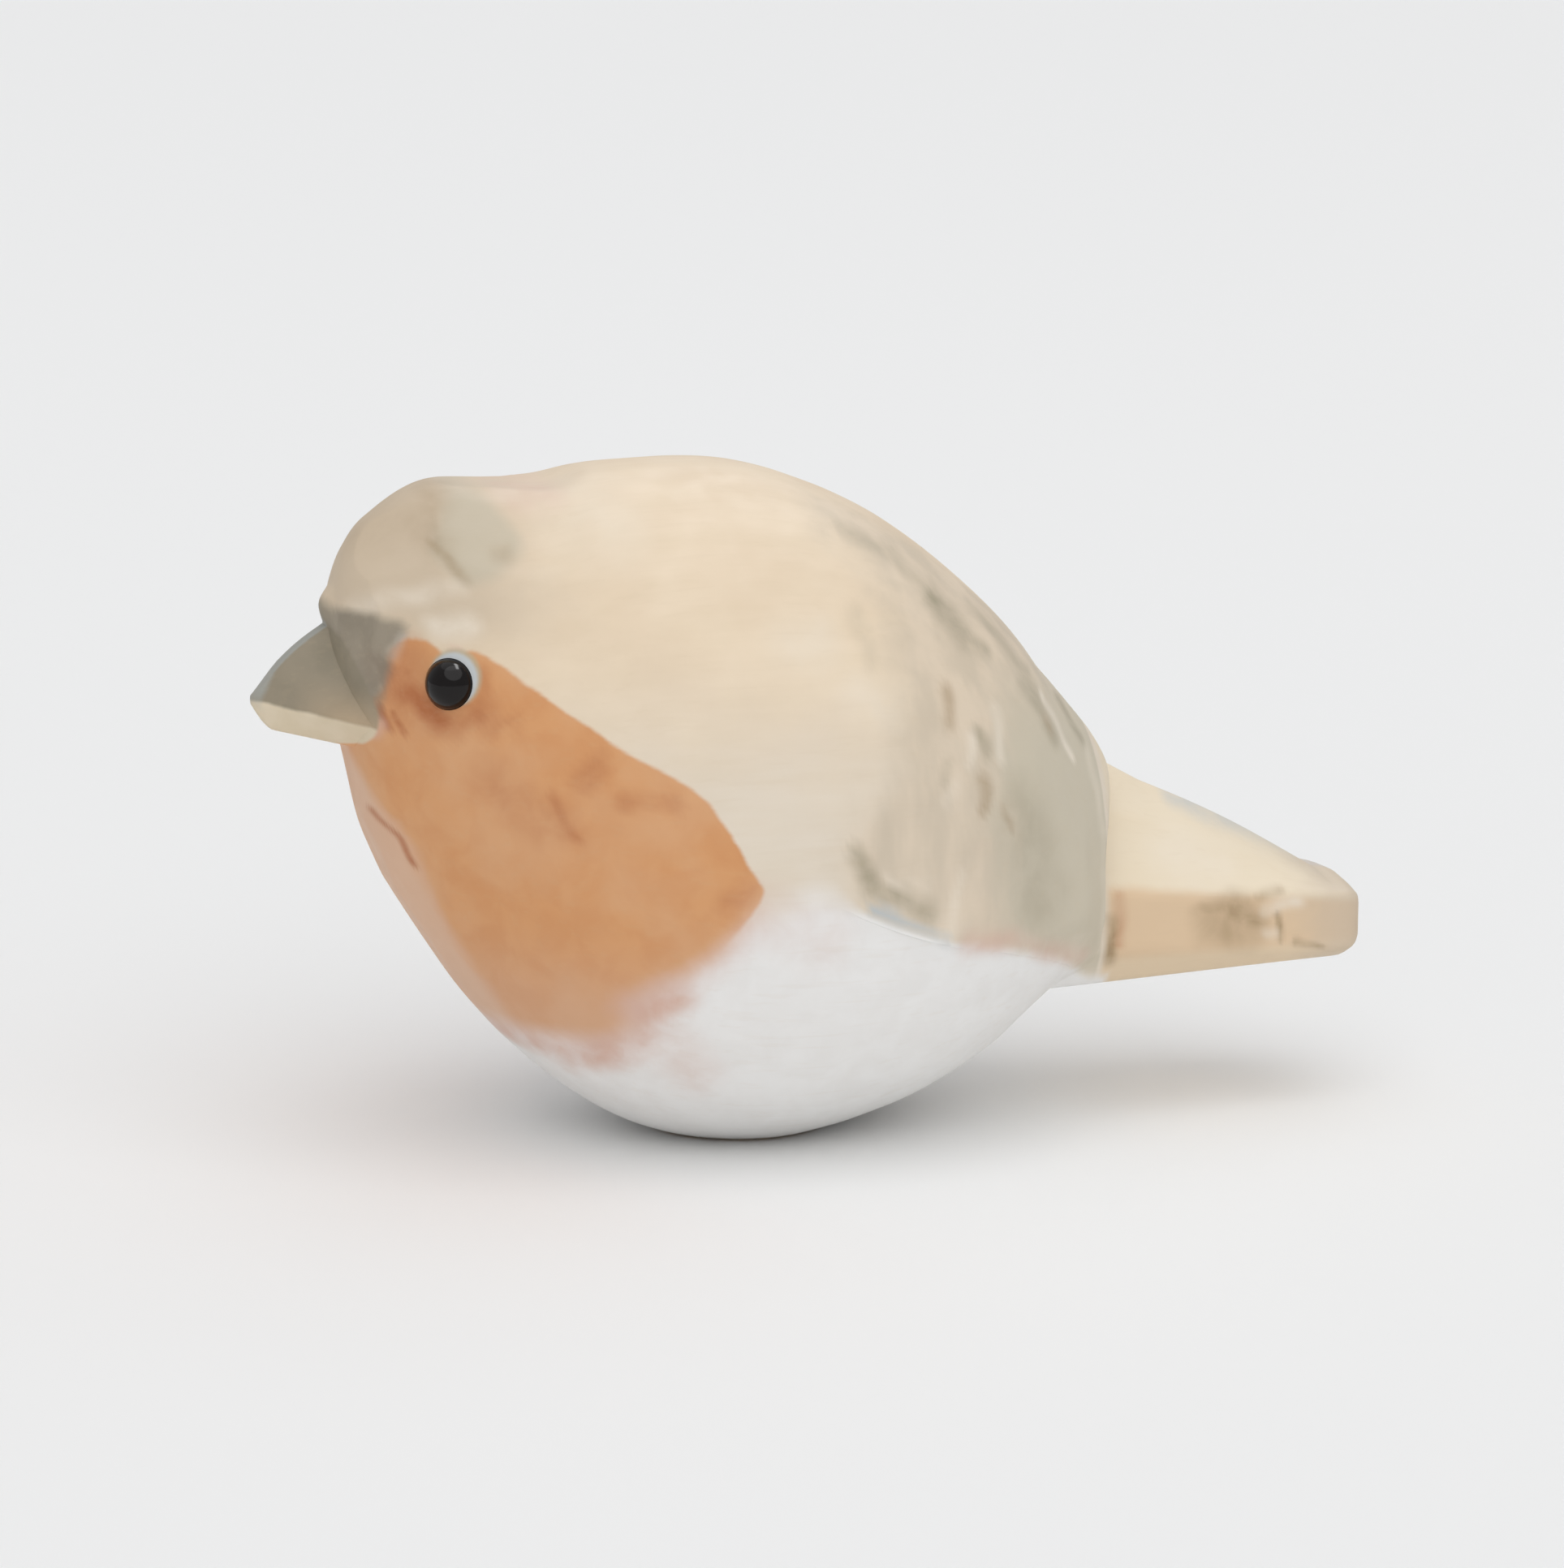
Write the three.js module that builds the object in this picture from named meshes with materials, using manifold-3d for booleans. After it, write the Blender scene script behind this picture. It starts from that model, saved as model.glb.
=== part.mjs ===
// A small robin carved from one block of soft wood, with two black bead eyes set into drilled sockets.
// The bird looks along -X, its left side is -Y, and Z is up. The origin is the middle of the flat foot
// that it stands on. All sizes are in millimetres.
import * as THREE from "three";
import { mergeVertices } from "three/addons/utils/BufferGeometryUtils.js";
import Module from "manifold-3d";

// The block that the bird is carved from. Places along the bird, heights and half-widths below are
// shares of its length, height and width.
const BLOCK_LENGTH = 70;
const BLOCK_HEIGHT = 42.4;
const BLOCK_WIDTH = 35;

// The carver's templates. Each row is one section of the body, from the face to the wing ends: its place
// along the bird, the heights of the back, the belly and the widest point, and the half-width there.
const SECTIONS = [
  { along: -0.37, back: 0.76, belly: 0.744, waist: 0.752, half: 0.005 },
  { along: -0.3675, back: 0.8, belly: 0.7, waist: 0.755, half: 0.045 },
  { along: -0.361, back: 0.845, belly: 0.645, waist: 0.745, half: 0.084 },
  { along: -0.35, back: 0.885, belly: 0.555, waist: 0.72, half: 0.128 },
  { along: -0.329, back: 0.925, belly: 0.425, waist: 0.68, half: 0.19 },
  { along: -0.278, back: 0.971, belly: 0.28, waist: 0.6, half: 0.292 },
  { along: -0.203, back: 0.971, belly: 0.13, waist: 0.507, half: 0.395 },
  { along: -0.107, back: 0.987, belly: 0.018, waist: 0.46, half: 0.474 },
  { along: 0, back: 0.979, belly: -0.018, waist: 0.436, half: 0.5 },
  { along: 0.107, back: 0.911, belly: 0.016, waist: 0.413, half: 0.486 },
  { along: 0.193, back: 0.806, belly: 0.083, waist: 0.401, half: 0.425 },
  { along: 0.26, back: 0.684, belly: 0.17, waist: 0.373, half: 0.334 },
  { along: 0.302, back: 0.53, belly: 0.2, waist: 0.342, half: 0.246 },
];
const SECTION_FULLNESS = 2.08; // exponent of the section's curve: 2 is an ellipse, more is squarer
const LAST = SECTIONS.length - 1;

// The wings are one surface with the back. Their lower edge stands proud of the belly, a groove parts
// them along the back, and they end in a step above the root of the tail.
const WING_LIP = 0.55; // how far the lower edge stands out
const WING_LIP_FALL = 0.35; // height over which the lip falls back to the belly
const WING_LIP_STARTS = 0.02; // the lip grows from nothing here to its full size there
const WING_LIP_FULL = 0.07;
const WING_LIP_GATHER = 3; // above 1, the lip gathers towards the edge
const WING_EDGE_ANGLE = 90; // where the edge runs round the section, in degrees from the top
const WING_EDGE_SLOPE = 22; // degrees that it comes down along the wing
const WING_EDGE_DIP = 42; // degrees that it comes down further at the wing tip
const WING_EDGE_DIP_SHARPNESS = 8;
const WING_END_STARTS = 0.26;
const WING_END_BULGE = 2.1; // how much further back the wing ends reach in the middle than at the side
const GROOVE_DEPTH = 0.6;
const GROOVE_HALF_WIDTH = 1.3;
const GROOVE_STARTS = 0.12;
const GROOVE_FULL = 0.26;

// Flats left by single knife cuts: place along the bird and height, the side that it is on (-1 is the
// bird's left, 1 its right, 0 the middle), and how deep the cut goes below the round form.
const KNIFE_FLATS = [
  { along: -0.326, height: 0.9, side: -1, depth: 0.45 },
  { along: -0.317, height: 0.85, side: -1, depth: 0.2 },
  { along: -0.248, height: 0.92, side: -1, depth: 0.4 },
  { along: -0.352, height: 0.775, side: -1, depth: 0.2 },
  { along: 0.085, height: 0.45, side: -1, depth: 0.2 },
  { along: 0.23, height: 0.41, side: -1, depth: 0.35 },
  { along: -0.322, height: 0.89, side: 1, depth: 0.4 },
  { along: -0.312, height: 0.84, side: 1, depth: 0.2 },
  { along: -0.24, height: 0.91, side: 1, depth: 0.35 },
  { along: -0.352, height: 0.77, side: 1, depth: 0.2 },
  { along: 0.095, height: 0.44, side: 1, depth: 0.2 },
  { along: 0.235, height: 0.42, side: 1, depth: 0.35 },
  { along: -0.235, height: 1, side: 0, depth: 0.25 },
  { along: -0.33, height: 0.48, side: 0, depth: 0.3 },
  { along: -0.3, height: 0.3, side: 0, depth: 0.3 },
];
const FLAT_SOFTNESS = 0.08; // rounds the rim of a flat
const FLAT_REACH = 7; // no cut goes further than this from its middle

// The beak is a short pyramid with a narrow flat along its top and a blunt lower jaw.
const BEAK_TIP_ALONG = -0.4357;
const BEAK_TIP_HEIGHT = 0.666;
const BEAK_ROOT_ALONG = -0.3; // its end, inside the head
const BEAK_TIP_SIZE = 0.28;
const BEAK_TOP_RISE = 0.9; // climb of the top for each millimetre back from the tip
const BEAK_TOP_HALF_WIDTH = 0.75;
const BEAK_MOUTH_SPREAD = 0.74; // half-width gained for each millimetre back from the tip
const BEAK_MOUTH_DROP = 0.17;
const BEAK_JAW_LENGTH = 0.9; // of the blunt end of the lower jaw
const BEAK_JAW_DEPTH = 1.6;
const BEAK_JAW_SLOPE = 0.2; // fall of the lower jaw behind that
const BEAK_JAW_NARROWING = 0.55; // the flat under the jaw, against the width of the mouth

// The tail is a flat bar with a ridged top, upright sides and bevels below.
const TAIL_ROOT_ALONG = 0.22; // its start, inside the body
const TAIL_WING_ALONG = 0.3; // where it comes out under the wing ends
const TAIL_END_ALONG = 0.5643;
const TAIL_RIDGE_ROOT = 0.548;
const TAIL_RIDGE_END = 0.328;
const TAIL_RIDGE_SWEEP = 1.05; // above 1, the ridge falls in a hollow curve
const TAIL_SHOULDER_ROOT = 0.342;
const TAIL_SHOULDER_END = 0.315;
const TAIL_HALF_WIDTH_ROOT = 6.9;
const TAIL_HALF_WIDTH_END = 5.3;
const TAIL_SIDE_ROOT = 3.6; // height of the upright sides
const TAIL_SIDE_END = 3.7;
const TAIL_BEVEL_ROOT = 2.5; // height of the bevel below the sides
const TAIL_BEVEL_END = 0.8;
const TAIL_BEVEL_IN = 1.6;
const TAIL_TOP_EDGE_OUT = 0.55; // the roof's middle edge, as shares of the way out and of the way up
const TAIL_TOP_EDGE_UP = 0.62;
const TAIL_END_ROUND = 1.6; // how far the corners of the end are cut back

// The eyes are glossy beads, sunk into sockets drilled square to the head.
const EYE_ALONG = -0.29;
const EYE_HEIGHT = 0.718;
const EYE_BEAD_DIAMETER = 3.2;
const EYE_SUNK = 0.5; // depth of the bead's middle below the head
const EYE_CLEARANCE = 0.3;

// Mesh steps
const STEPS_ALONG = 62;
const ROWS_OVER_WING = 13;
const ROWS_UNDER_WING = 10;
const ROW_CROWDING = 1.3; // above 1, rows lie closer together near the groove
const TAIL_STEPS = 9;
const BEAK_STEPS = 6;
const EYE_SIDES = 20;
const SOCKET_SIDES = 24;
const SLOPE_STEP = 0.05; // for measuring which way a surface faces
const SAME_POINT = 1e-4;

const SIDES = { left: -1, right: 1 };

const { clamp, degToRad, lerp } = THREE.MathUtils;
const smooth = (low, high, value) => THREE.MathUtils.smoothstep(value, low, high);

// How far along the skin each section stands from the first one, measured on the back and belly lines.
const stationAt = SECTIONS.reduce((sums, section, i) => {
  if (i === 0) return [0];
  const before = SECTIONS[i - 1];
  const ahead = (section.along - before.along) * BLOCK_LENGTH;
  const climb = (section.back - before.back) * BLOCK_HEIGHT;
  const fall = (section.belly - before.belly) * BLOCK_HEIGHT;
  return [...sums, sums[i - 1] + Math.hypot(ahead, climb, fall)];
}, []);

// The slope of one column of the templates at section i, from its two neighbours.
function slopeAt(column, i) {
  const a = Math.max(i - 1, 0);
  const b = Math.min(i + 1, LAST);
  return (SECTIONS[b][column] - SECTIONS[a][column]) / (stationAt[b] - stationAt[a]);
}

// A smooth curve through one column of the templates: a cubic between each two sections, which leaves
// one and reaches the next at their own slopes.
function template(column, station) {
  let i = 0;
  while (i < LAST - 1 && station > stationAt[i + 1]) i += 1;
  const span = stationAt[i + 1] - stationAt[i];
  const s = clamp((station - stationAt[i]) / span, 0, 1);
  const eased = s * s * (3 - 2 * s);
  const leaving = s * (1 - s) * (1 - s) * slopeAt(column, i) * span;
  const arriving = s * s * (s - 1) * slopeAt(column, i + 1) * span;
  return lerp(SECTIONS[i][column], SECTIONS[i + 1][column], eased) + leaving + arriving;
}

// The station where the templates reach a place along the bird, halved until no number is left between.
function stationOf(along) {
  let low = 0;
  let high = stationAt[LAST];
  let middle = (low + high) / 2;
  while (middle > low && middle < high) {
    if (template("along", middle) < along) low = middle;
    else high = middle;
    middle = (low + high) / 2;
  }
  return low;
}

// The angle of the wing's lower edge round the section, from the top.
function wingEdgeAngle(along) {
  const share = clamp(along / SECTIONS[LAST].along, 0, 1);
  const dip = WING_EDGE_DIP * Math.pow(share, WING_EDGE_DIP_SHARPNESS);
  return degToRad(WING_EDGE_ANGLE + WING_EDGE_SLOPE * share + dip);
}

// A point of the round form, before the knife flats. The section is a superellipse that reaches up to
// the back and down to the belly from its widest point. lip is 1 on the wing's edge, 0 away from it.
function roundPoint(station, angle, side, lip) {
  const along = template("along", station);
  const waist = template("waist", station);
  const power = 2 / SECTION_FULLNESS;
  const out = Math.pow(Math.max(Math.sin(angle), 0), power);
  const up = Math.sign(Math.cos(angle)) * Math.pow(Math.abs(Math.cos(angle)), power);
  const reach = Math.abs(template(up > 0 ? "back" : "belly", station) - waist);
  const lipSize = WING_LIP * lip * smooth(WING_LIP_STARTS, WING_LIP_FULL, along);
  const point = new THREE.Vector3(
    along * BLOCK_LENGTH,
    template("half", station) * BLOCK_WIDTH * out + lipSize * Math.sin(angle),
    (waist + reach * up) * BLOCK_HEIGHT,
  );
  if (up > 0) {
    const inGroove = Math.max(1 - point.y / GROOVE_HALF_WIDTH, 0);
    point.z -= GROOVE_DEPTH * inGroove * smooth(GROOVE_STARTS, GROOVE_FULL, along);
    point.x += WING_END_BULGE * (1 - out * out) * smooth(WING_END_STARTS, SECTIONS[LAST].along, along);
  }
  point.y *= side;
  return point;
}

// A place on the round form, from its place along the bird and its height, and the way it faces.
function surfaceAt(along, height, side) {
  const station = stationOf(along);
  const waist = template("waist", station);
  const reach = Math.abs(template(height > waist ? "back" : "belly", station) - waist);
  const share = clamp((height - waist) / reach, -1, 1);
  const upOnSide = Math.sign(share) * Math.pow(Math.abs(share), SECTION_FULLNESS / 2);
  const up = side === 0 ? Math.sign(share) : upOnSide;
  const angle = Math.acos(up);
  const hand = side || 1;
  const nearby = (s, a) => roundPoint(station + s, angle + a, hand, 0);
  const ahead = nearby(SLOPE_STEP, 0).sub(nearby(-SLOPE_STEP, 0));
  const round = nearby(0, SLOPE_STEP).sub(nearby(0, -SLOPE_STEP));
  if (side === 0) round.set(0, up, 0);
  const normal = ahead.cross(round).multiplyScalar(hand).normalize();
  return { point: nearby(0, 0), normal };
}

const flats = KNIFE_FLATS.map((cut) => ({ ...surfaceAt(cut.along, cut.height, cut.side), depth: cut.depth }));

// Cuts a point back to each flat that it stands in front of.
function knifed(point) {
  for (const flat of flats) {
    const fromMiddle = point.clone().sub(flat.point);
    const proud = Math.max(fromMiddle.dot(flat.normal) + flat.depth, 0);
    const share = 1 - smooth(FLAT_REACH / 2, FLAT_REACH, fromMiddle.length());
    point.addScaledVector(flat.normal, (-share * proud * proud) / (proud + FLAT_SOFTNESS));
  }
  return point;
}

// A closed mesh from rings of points, each ring with as many points, with a fan at each end.
function loft(rings) {
  const count = rings[0].length;
  const middle = (ring) => ring.reduce((sum, p) => sum.add(p), new THREE.Vector3()).divideScalar(count);
  const points = [middle(rings[0]), ...rings.flat(), middle(rings[rings.length - 1])];
  const faces = [];
  const last = points.length - 1;
  for (let k = 0; k < count; k += 1) {
    const next = (k + 1) % count;
    faces.push(0, 1 + next, 1 + k);
    for (let i = 0; i < rings.length - 1; i += 1) {
      const a = 1 + i * count + k;
      const b = 1 + i * count + next;
      faces.push(a, b, b + count, a, b + count, a + count);
    }
    faces.push(last, last - count + k, last - count + next);
  }
  const geometry = new THREE.BufferGeometry().setFromPoints(points);
  geometry.setIndex(faces);
  return geometry;
}

// One ring from half a section: its points on the left side, from the top to the bottom, and their mirror
// back up to the top. Each entry of halfSection gives its point for a side.
function ringOf(halfSection) {
  const down = halfSection.map((pointOn) => pointOn(SIDES.left));
  const backUp = halfSection.slice(1, -1).reverse();
  return [...down, ...backUp.map((pointOn) => pointOn(SIDES.right))];
}

// The same from a flat list of distances out from the middle and heights, at one place along the bird.
function ringAt(x, outline) {
  return ringOf(outline.map(([out, z]) => (side) => new THREE.Vector3(x, side * out, z)));
}

// Head, body and wings: sections from the face to the wing ends.
function bodyGeometry() {
  const rings = [];
  for (let i = 0; i <= STEPS_ALONG; i += 1) {
    const station = (stationAt[LAST] * i) / STEPS_ALONG;
    const edge = wingEdgeAngle(template("along", station));
    const halfWidth = template("half", station) * BLOCK_WIDTH;
    const below = edge + WING_LIP_FALL / (halfWidth + WING_LIP_FALL);
    const halfSection = [];
    for (let j = 0; j <= ROWS_OVER_WING; j += 1) {
      const share = Math.pow(j / ROWS_OVER_WING, ROW_CROWDING);
      halfSection.push((side) => knifed(roundPoint(station, edge * share, side, share ** WING_LIP_GATHER)));
    }
    for (let j = 0; j <= ROWS_UNDER_WING; j += 1) {
      const angle = lerp(below, Math.PI, j / ROWS_UNDER_WING);
      halfSection.push((side) => knifed(roundPoint(station, angle, side, 0)));
    }
    rings.push(ringOf(halfSection));
  }
  return loft(rings);
}

// The beak, from its tip to inside the head.
function beakGeometry() {
  const tipX = BEAK_TIP_ALONG * BLOCK_LENGTH;
  const tipZ = BEAK_TIP_HEIGHT * BLOCK_HEIGHT;
  const length = BEAK_ROOT_ALONG * BLOCK_LENGTH - tipX;
  const rings = [];
  for (let i = 0; i <= BEAK_STEPS; i += 1) {
    const back = i === 0 ? 0 : lerp(BEAK_JAW_LENGTH, length, (i - 1) / (BEAK_STEPS - 1));
    const pastJaw = Math.max(back - BEAK_JAW_LENGTH, 0);
    const mouth = BEAK_TIP_SIZE + BEAK_MOUTH_SPREAD * back;
    const top = tipZ + BEAK_TIP_SIZE + BEAK_TOP_RISE * back;
    const bottom = tipZ - BEAK_TIP_SIZE - (i === 0 ? 0 : BEAK_JAW_DEPTH) - BEAK_JAW_SLOPE * pastJaw;
    const outline = [
      [0, top],
      [Math.min(BEAK_TOP_HALF_WIDTH, mouth / 2), top],
      [mouth, tipZ - BEAK_MOUTH_DROP * back],
      [mouth * BEAK_JAW_NARROWING, bottom],
      [0, bottom],
    ];
    rings.push(ringAt(tipX + back, outline));
  }
  return loft(rings);
}

// The tail, from inside the body to its end. The last ring is the end face, drawn in on all sides.
function tailGeometry() {
  const rings = [];
  for (let i = 0; i <= TAIL_STEPS + 1; i += 1) {
    const isEnd = i > TAIL_STEPS;
    const along = lerp(TAIL_ROOT_ALONG, TAIL_END_ALONG, Math.min(i / TAIL_STEPS, 1));
    const share = (along - TAIL_WING_ALONG) / (TAIL_END_ALONG - TAIL_WING_ALONG);
    const out = Math.max(share, 0);
    const fall = Math.pow(1 - out, TAIL_RIDGE_SWEEP) - Math.min(share, 0);
    const inset = isEnd ? TAIL_END_ROUND : 0;
    const ridge = lerp(TAIL_RIDGE_END, TAIL_RIDGE_ROOT, fall) * BLOCK_HEIGHT - inset / 2;
    const shoulder = lerp(TAIL_SHOULDER_ROOT, TAIL_SHOULDER_END, share) * BLOCK_HEIGHT - inset / 2;
    const half = lerp(TAIL_HALF_WIDTH_ROOT, TAIL_HALF_WIDTH_END, share) - inset;
    const low = shoulder - lerp(TAIL_SIDE_ROOT, TAIL_SIDE_END, share) + inset;
    const bottom = low - lerp(TAIL_BEVEL_ROOT, TAIL_BEVEL_END, share) + inset / 4;
    const outline = [
      [0, ridge],
      [half * TAIL_TOP_EDGE_OUT, lerp(shoulder, ridge, TAIL_TOP_EDGE_UP)],
      [half, shoulder],
      [half, low],
      [half - TAIL_BEVEL_IN, bottom],
      [0, bottom],
    ];
    rings.push(ringAt(along * BLOCK_LENGTH - (TAIL_END_ROUND - inset) * out, outline));
  }
  return loft(rings);
}

// Where an eye's bead sits: its middle, and the way that it looks.
function eyeSeat(side) {
  const { point, normal } = surfaceAt(EYE_ALONG, EYE_HEIGHT, side);
  return { middle: point.addScaledVector(normal, -EYE_SUNK), normal };
}

// The hole that an eye's socket is drilled with, from a little behind the bead to well outside the head.
function socketGeometry({ middle, normal }) {
  const radius = EYE_BEAD_DIAMETER / 2 + EYE_CLEARANCE;
  const outside = EYE_BEAD_DIAMETER;
  const drill = new THREE.CylinderGeometry(radius, radius, outside + radius, SOCKET_SIDES);
  drill.translate(0, (outside - radius) / 2, 0);
  drill.applyQuaternion(new THREE.Quaternion().setFromUnitVectors(THREE.Object3D.DEFAULT_UP, normal));
  return drill.translate(middle.x, middle.y, middle.z);
}

const wasm = await Module();
wasm.setup();

// A closed geometry as a solid that can be joined and cut.
function solidOf(geometry) {
  const bare = new THREE.BufferGeometry().setAttribute("position", geometry.getAttribute("position"));
  bare.setIndex(geometry.index);
  const merged = mergeVertices(bare, SAME_POINT);
  const mesh = new wasm.Mesh({
    numProp: 3,
    vertProperties: merged.attributes.position.array,
    triVerts: new Uint32Array(merged.index.array),
  });
  return new wasm.Manifold(mesh);
}

// A solid back as a geometry.
function geometryOf(solid) {
  const { vertProperties, triVerts } = solid.getMesh();
  const geometry = new THREE.BufferGeometry();
  geometry.setAttribute("position", new THREE.BufferAttribute(vertProperties, 3));
  geometry.setIndex(new THREE.BufferAttribute(triVerts, 1));
  geometry.computeVertexNormals();
  return geometry;
}

// The whole carving: body, beak and tail are one piece of wood, cut flat below and drilled for the eyes.
function carvingGeometry() {
  const underFoot = new THREE.BoxGeometry(2 * BLOCK_LENGTH, 2 * BLOCK_WIDTH, BLOCK_HEIGHT);
  underFoot.translate(0, 0, -BLOCK_HEIGHT / 2);
  let carving = solidOf(bodyGeometry());
  carving = carving.add(solidOf(beakGeometry()));
  carving = carving.add(solidOf(tailGeometry()));
  carving = carving.subtract(solidOf(underFoot));
  for (const side of Object.values(SIDES)) {
    carving = carving.subtract(solidOf(socketGeometry(eyeSeat(side))));
  }
  return geometryOf(carving);
}

const paintedWood = new THREE.MeshStandardMaterial({
  name: "painted_wood",
  color: 0xdccbb0,
  roughness: 0.6,
  metalness: 0,
});
const blackBead = new THREE.MeshStandardMaterial({
  name: "black_bead",
  color: 0x14110f,
  roughness: 0.08,
  metalness: 0,
});

const bird = new THREE.Group();

const carving = new THREE.Mesh(carvingGeometry(), paintedWood);
carving.name = "carved_bird";
bird.add(carving);

for (const [name, side] of Object.entries(SIDES)) {
  const bead = new THREE.SphereGeometry(EYE_BEAD_DIAMETER / 2, EYE_SIDES, EYE_SIDES / 2);
  const eye = new THREE.Mesh(bead, blackBead.clone());
  eye.name = `${name}_eye`;
  const { middle, normal } = eyeSeat(side);
  eye.position.copy(middle);
  eye.quaternion.setFromUnitVectors(THREE.Object3D.DEFAULT_UP, normal);
  bird.add(eye);
}

export default bird;
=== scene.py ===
# %% [markdown]
# # A little robin, carved in soft wood and painted
#
# This lesson dresses a plain faceted bird that is already in the scene. The real object is about as long
# as a finger: one block of soft wood, shaped with a knife, thinly painted with acrylics, with two glass
# beads for eyes. Everything here is in metres, with the bird's foot at the origin, its beak towards -X,
# its left side towards -Y and Z upwards.
#
# The plain bird is loaded first. The finished bird may not outgrow it.

import bpy
import numpy as np
from mathutils import Euler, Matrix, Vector


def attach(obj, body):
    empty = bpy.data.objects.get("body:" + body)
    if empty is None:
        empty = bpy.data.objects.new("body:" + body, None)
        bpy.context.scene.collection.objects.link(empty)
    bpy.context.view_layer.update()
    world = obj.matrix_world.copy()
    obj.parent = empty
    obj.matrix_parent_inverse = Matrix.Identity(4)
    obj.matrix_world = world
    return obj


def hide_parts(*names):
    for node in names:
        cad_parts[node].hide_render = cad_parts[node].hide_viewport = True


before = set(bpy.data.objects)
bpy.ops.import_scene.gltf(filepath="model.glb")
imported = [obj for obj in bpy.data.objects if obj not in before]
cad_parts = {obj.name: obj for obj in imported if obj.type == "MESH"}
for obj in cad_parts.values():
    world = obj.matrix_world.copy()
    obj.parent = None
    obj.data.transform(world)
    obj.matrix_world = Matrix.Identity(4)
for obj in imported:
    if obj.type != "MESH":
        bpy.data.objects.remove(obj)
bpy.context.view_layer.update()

MM = 0.001  # a millimetre in metres
print("nodes", sorted(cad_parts))

# %% [markdown]
# ## The camera
#
# The picture was taken from in front of the bird's left side and a little above it, through a long lens:
# near and far parts of the bird hardly differ in scale. A camera could be placed by eye, but here three
# facts fix it: the direction it stands in, how much it sees at the foot, and the pixel where the foot is.
# It first looks straight at the foot. Then it is tipped up and turned until the foot comes to its pixel,
# so that no lens shift is needed.

# %% Camera
PICTURE_WIDTH = 1927  # pixels
PICTURE_HEIGHT = 1932
FOOT_PIXEL = (909, 1377)
CAMERA_AZIMUTH = np.radians(-15)
CAMERA_ELEVATION = np.radians(15)
CAMERA_DISTANCE = 420 * MM
SEEN_HEIGHT = 98.2 * MM  # of the picture, at the distance of the foot
SENSOR = 36.0

towards_camera = Vector((
    np.sin(CAMERA_AZIMUTH) * np.cos(CAMERA_ELEVATION),
    -np.cos(CAMERA_AZIMUTH) * np.cos(CAMERA_ELEVATION),
    np.sin(CAMERA_ELEVATION),
))
focal_pixels = PICTURE_HEIGHT * CAMERA_DISTANCE / SEEN_HEIGHT
tip_up = np.arctan((FOOT_PIXEL[1] - PICTURE_HEIGHT / 2) / focal_pixels)
turn_right = np.arctan((PICTURE_WIDTH / 2 - FOOT_PIXEL[0]) / focal_pixels)

camera_data = bpy.data.cameras.new("camera")
camera_data.sensor_width = SENSOR
camera_data.lens = SENSOR * CAMERA_DISTANCE / SEEN_HEIGHT
camera_data.clip_start = 10 * MM
camera_data.clip_end = 20
camera = bpy.data.objects.new("camera", camera_data)
bpy.context.scene.collection.objects.link(camera)
camera.location = towards_camera * CAMERA_DISTANCE
camera.rotation_mode = "QUATERNION"
look_at_foot = (-towards_camera).to_track_quat("-Z", "Y")
camera.rotation_quaternion = look_at_foot @ Euler((tip_up, -turn_right, 0)).to_quaternion()
bpy.context.scene.camera = camera
print("lens, mm", round(camera_data.lens, 1))

# %% [markdown]
# ## Materials are built from nodes
#
# A node material is a small machine: numbers and colours flow from node to node. One helper adds a node,
# sets its plain settings and links what comes in, and a second one turns the colour that a colour picker
# shows into the linear light that the renderer counts with.

# %% Node helpers
def linear(hex_colour):
    """A colour as on the screen, such as "#c0ffee", as linear red, green, blue and alpha."""
    parts = np.array([int(hex_colour[i:i + 2], 16) for i in (1, 3, 5)]) / 255
    light = np.where(parts <= 0.04045, parts / 12.92, ((parts + 0.055) / 1.055) ** 2.4)
    return (*light, 1.0)


def new_material(name):
    """An empty node material and its Principled shader."""
    material = bpy.data.materials.new(name)
    material.use_nodes = True
    material.node_tree.nodes.clear()
    shader = add_node(material, "ShaderNodeBsdfPrincipled")
    add_node(material, "ShaderNodeOutputMaterial", {"Surface": shader.outputs["BSDF"]})
    return material, shader


def add_node(material, kind, inputs=None, **settings):
    """Adds a node. Settings are its own properties; inputs are values, or sockets to link from."""
    node = material.node_tree.nodes.new(kind)
    for name, value in settings.items():
        setattr(node, name, value)
    for name, value in (inputs or {}).items():
        if isinstance(value, bpy.types.NodeSocket):
            material.node_tree.links.new(value, node.inputs[name])
        else:
            node.inputs[name].default_value = value
    return node


# %% [markdown]
# ## The table and the light
#
# The bird sits on a matte white sheet that runs on behind it without an edge. The light is what a small
# white tent gives: it comes from all round, and most of it from above and in front, so the only shadow is
# a soft dark patch under the belly and the tail. A bright world makes the tent. Suns as wide as a window
# give it its direction without making the far end of the sheet darker, as a lamp would: the window, a
# weaker skylight, and a card that lifts the breast. Two narrow lamps overhead are seen only in
# reflections and put the glint in the eyes. Colours are shown as they are, with no film look.

# %% Table and light
scene = bpy.context.scene
scene.view_settings.view_transform = "Standard"

SHEET_HALF = 4.0
SHEET_BELOW = 0.02 * MM  # keeps the sheet from cutting into the foot

sheet_mesh = bpy.data.meshes.new("white_sheet")
corners = [(x * SHEET_HALF, y * SHEET_HALF, -SHEET_BELOW) for x, y in ((-1, -1), (1, -1), (1, 1), (-1, 1))]
sheet_mesh.from_pydata(corners, [], [(0, 1, 2, 3)])
white_sheet = bpy.data.objects.new("white_sheet", sheet_mesh)
scene.collection.objects.link(white_sheet)

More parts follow.
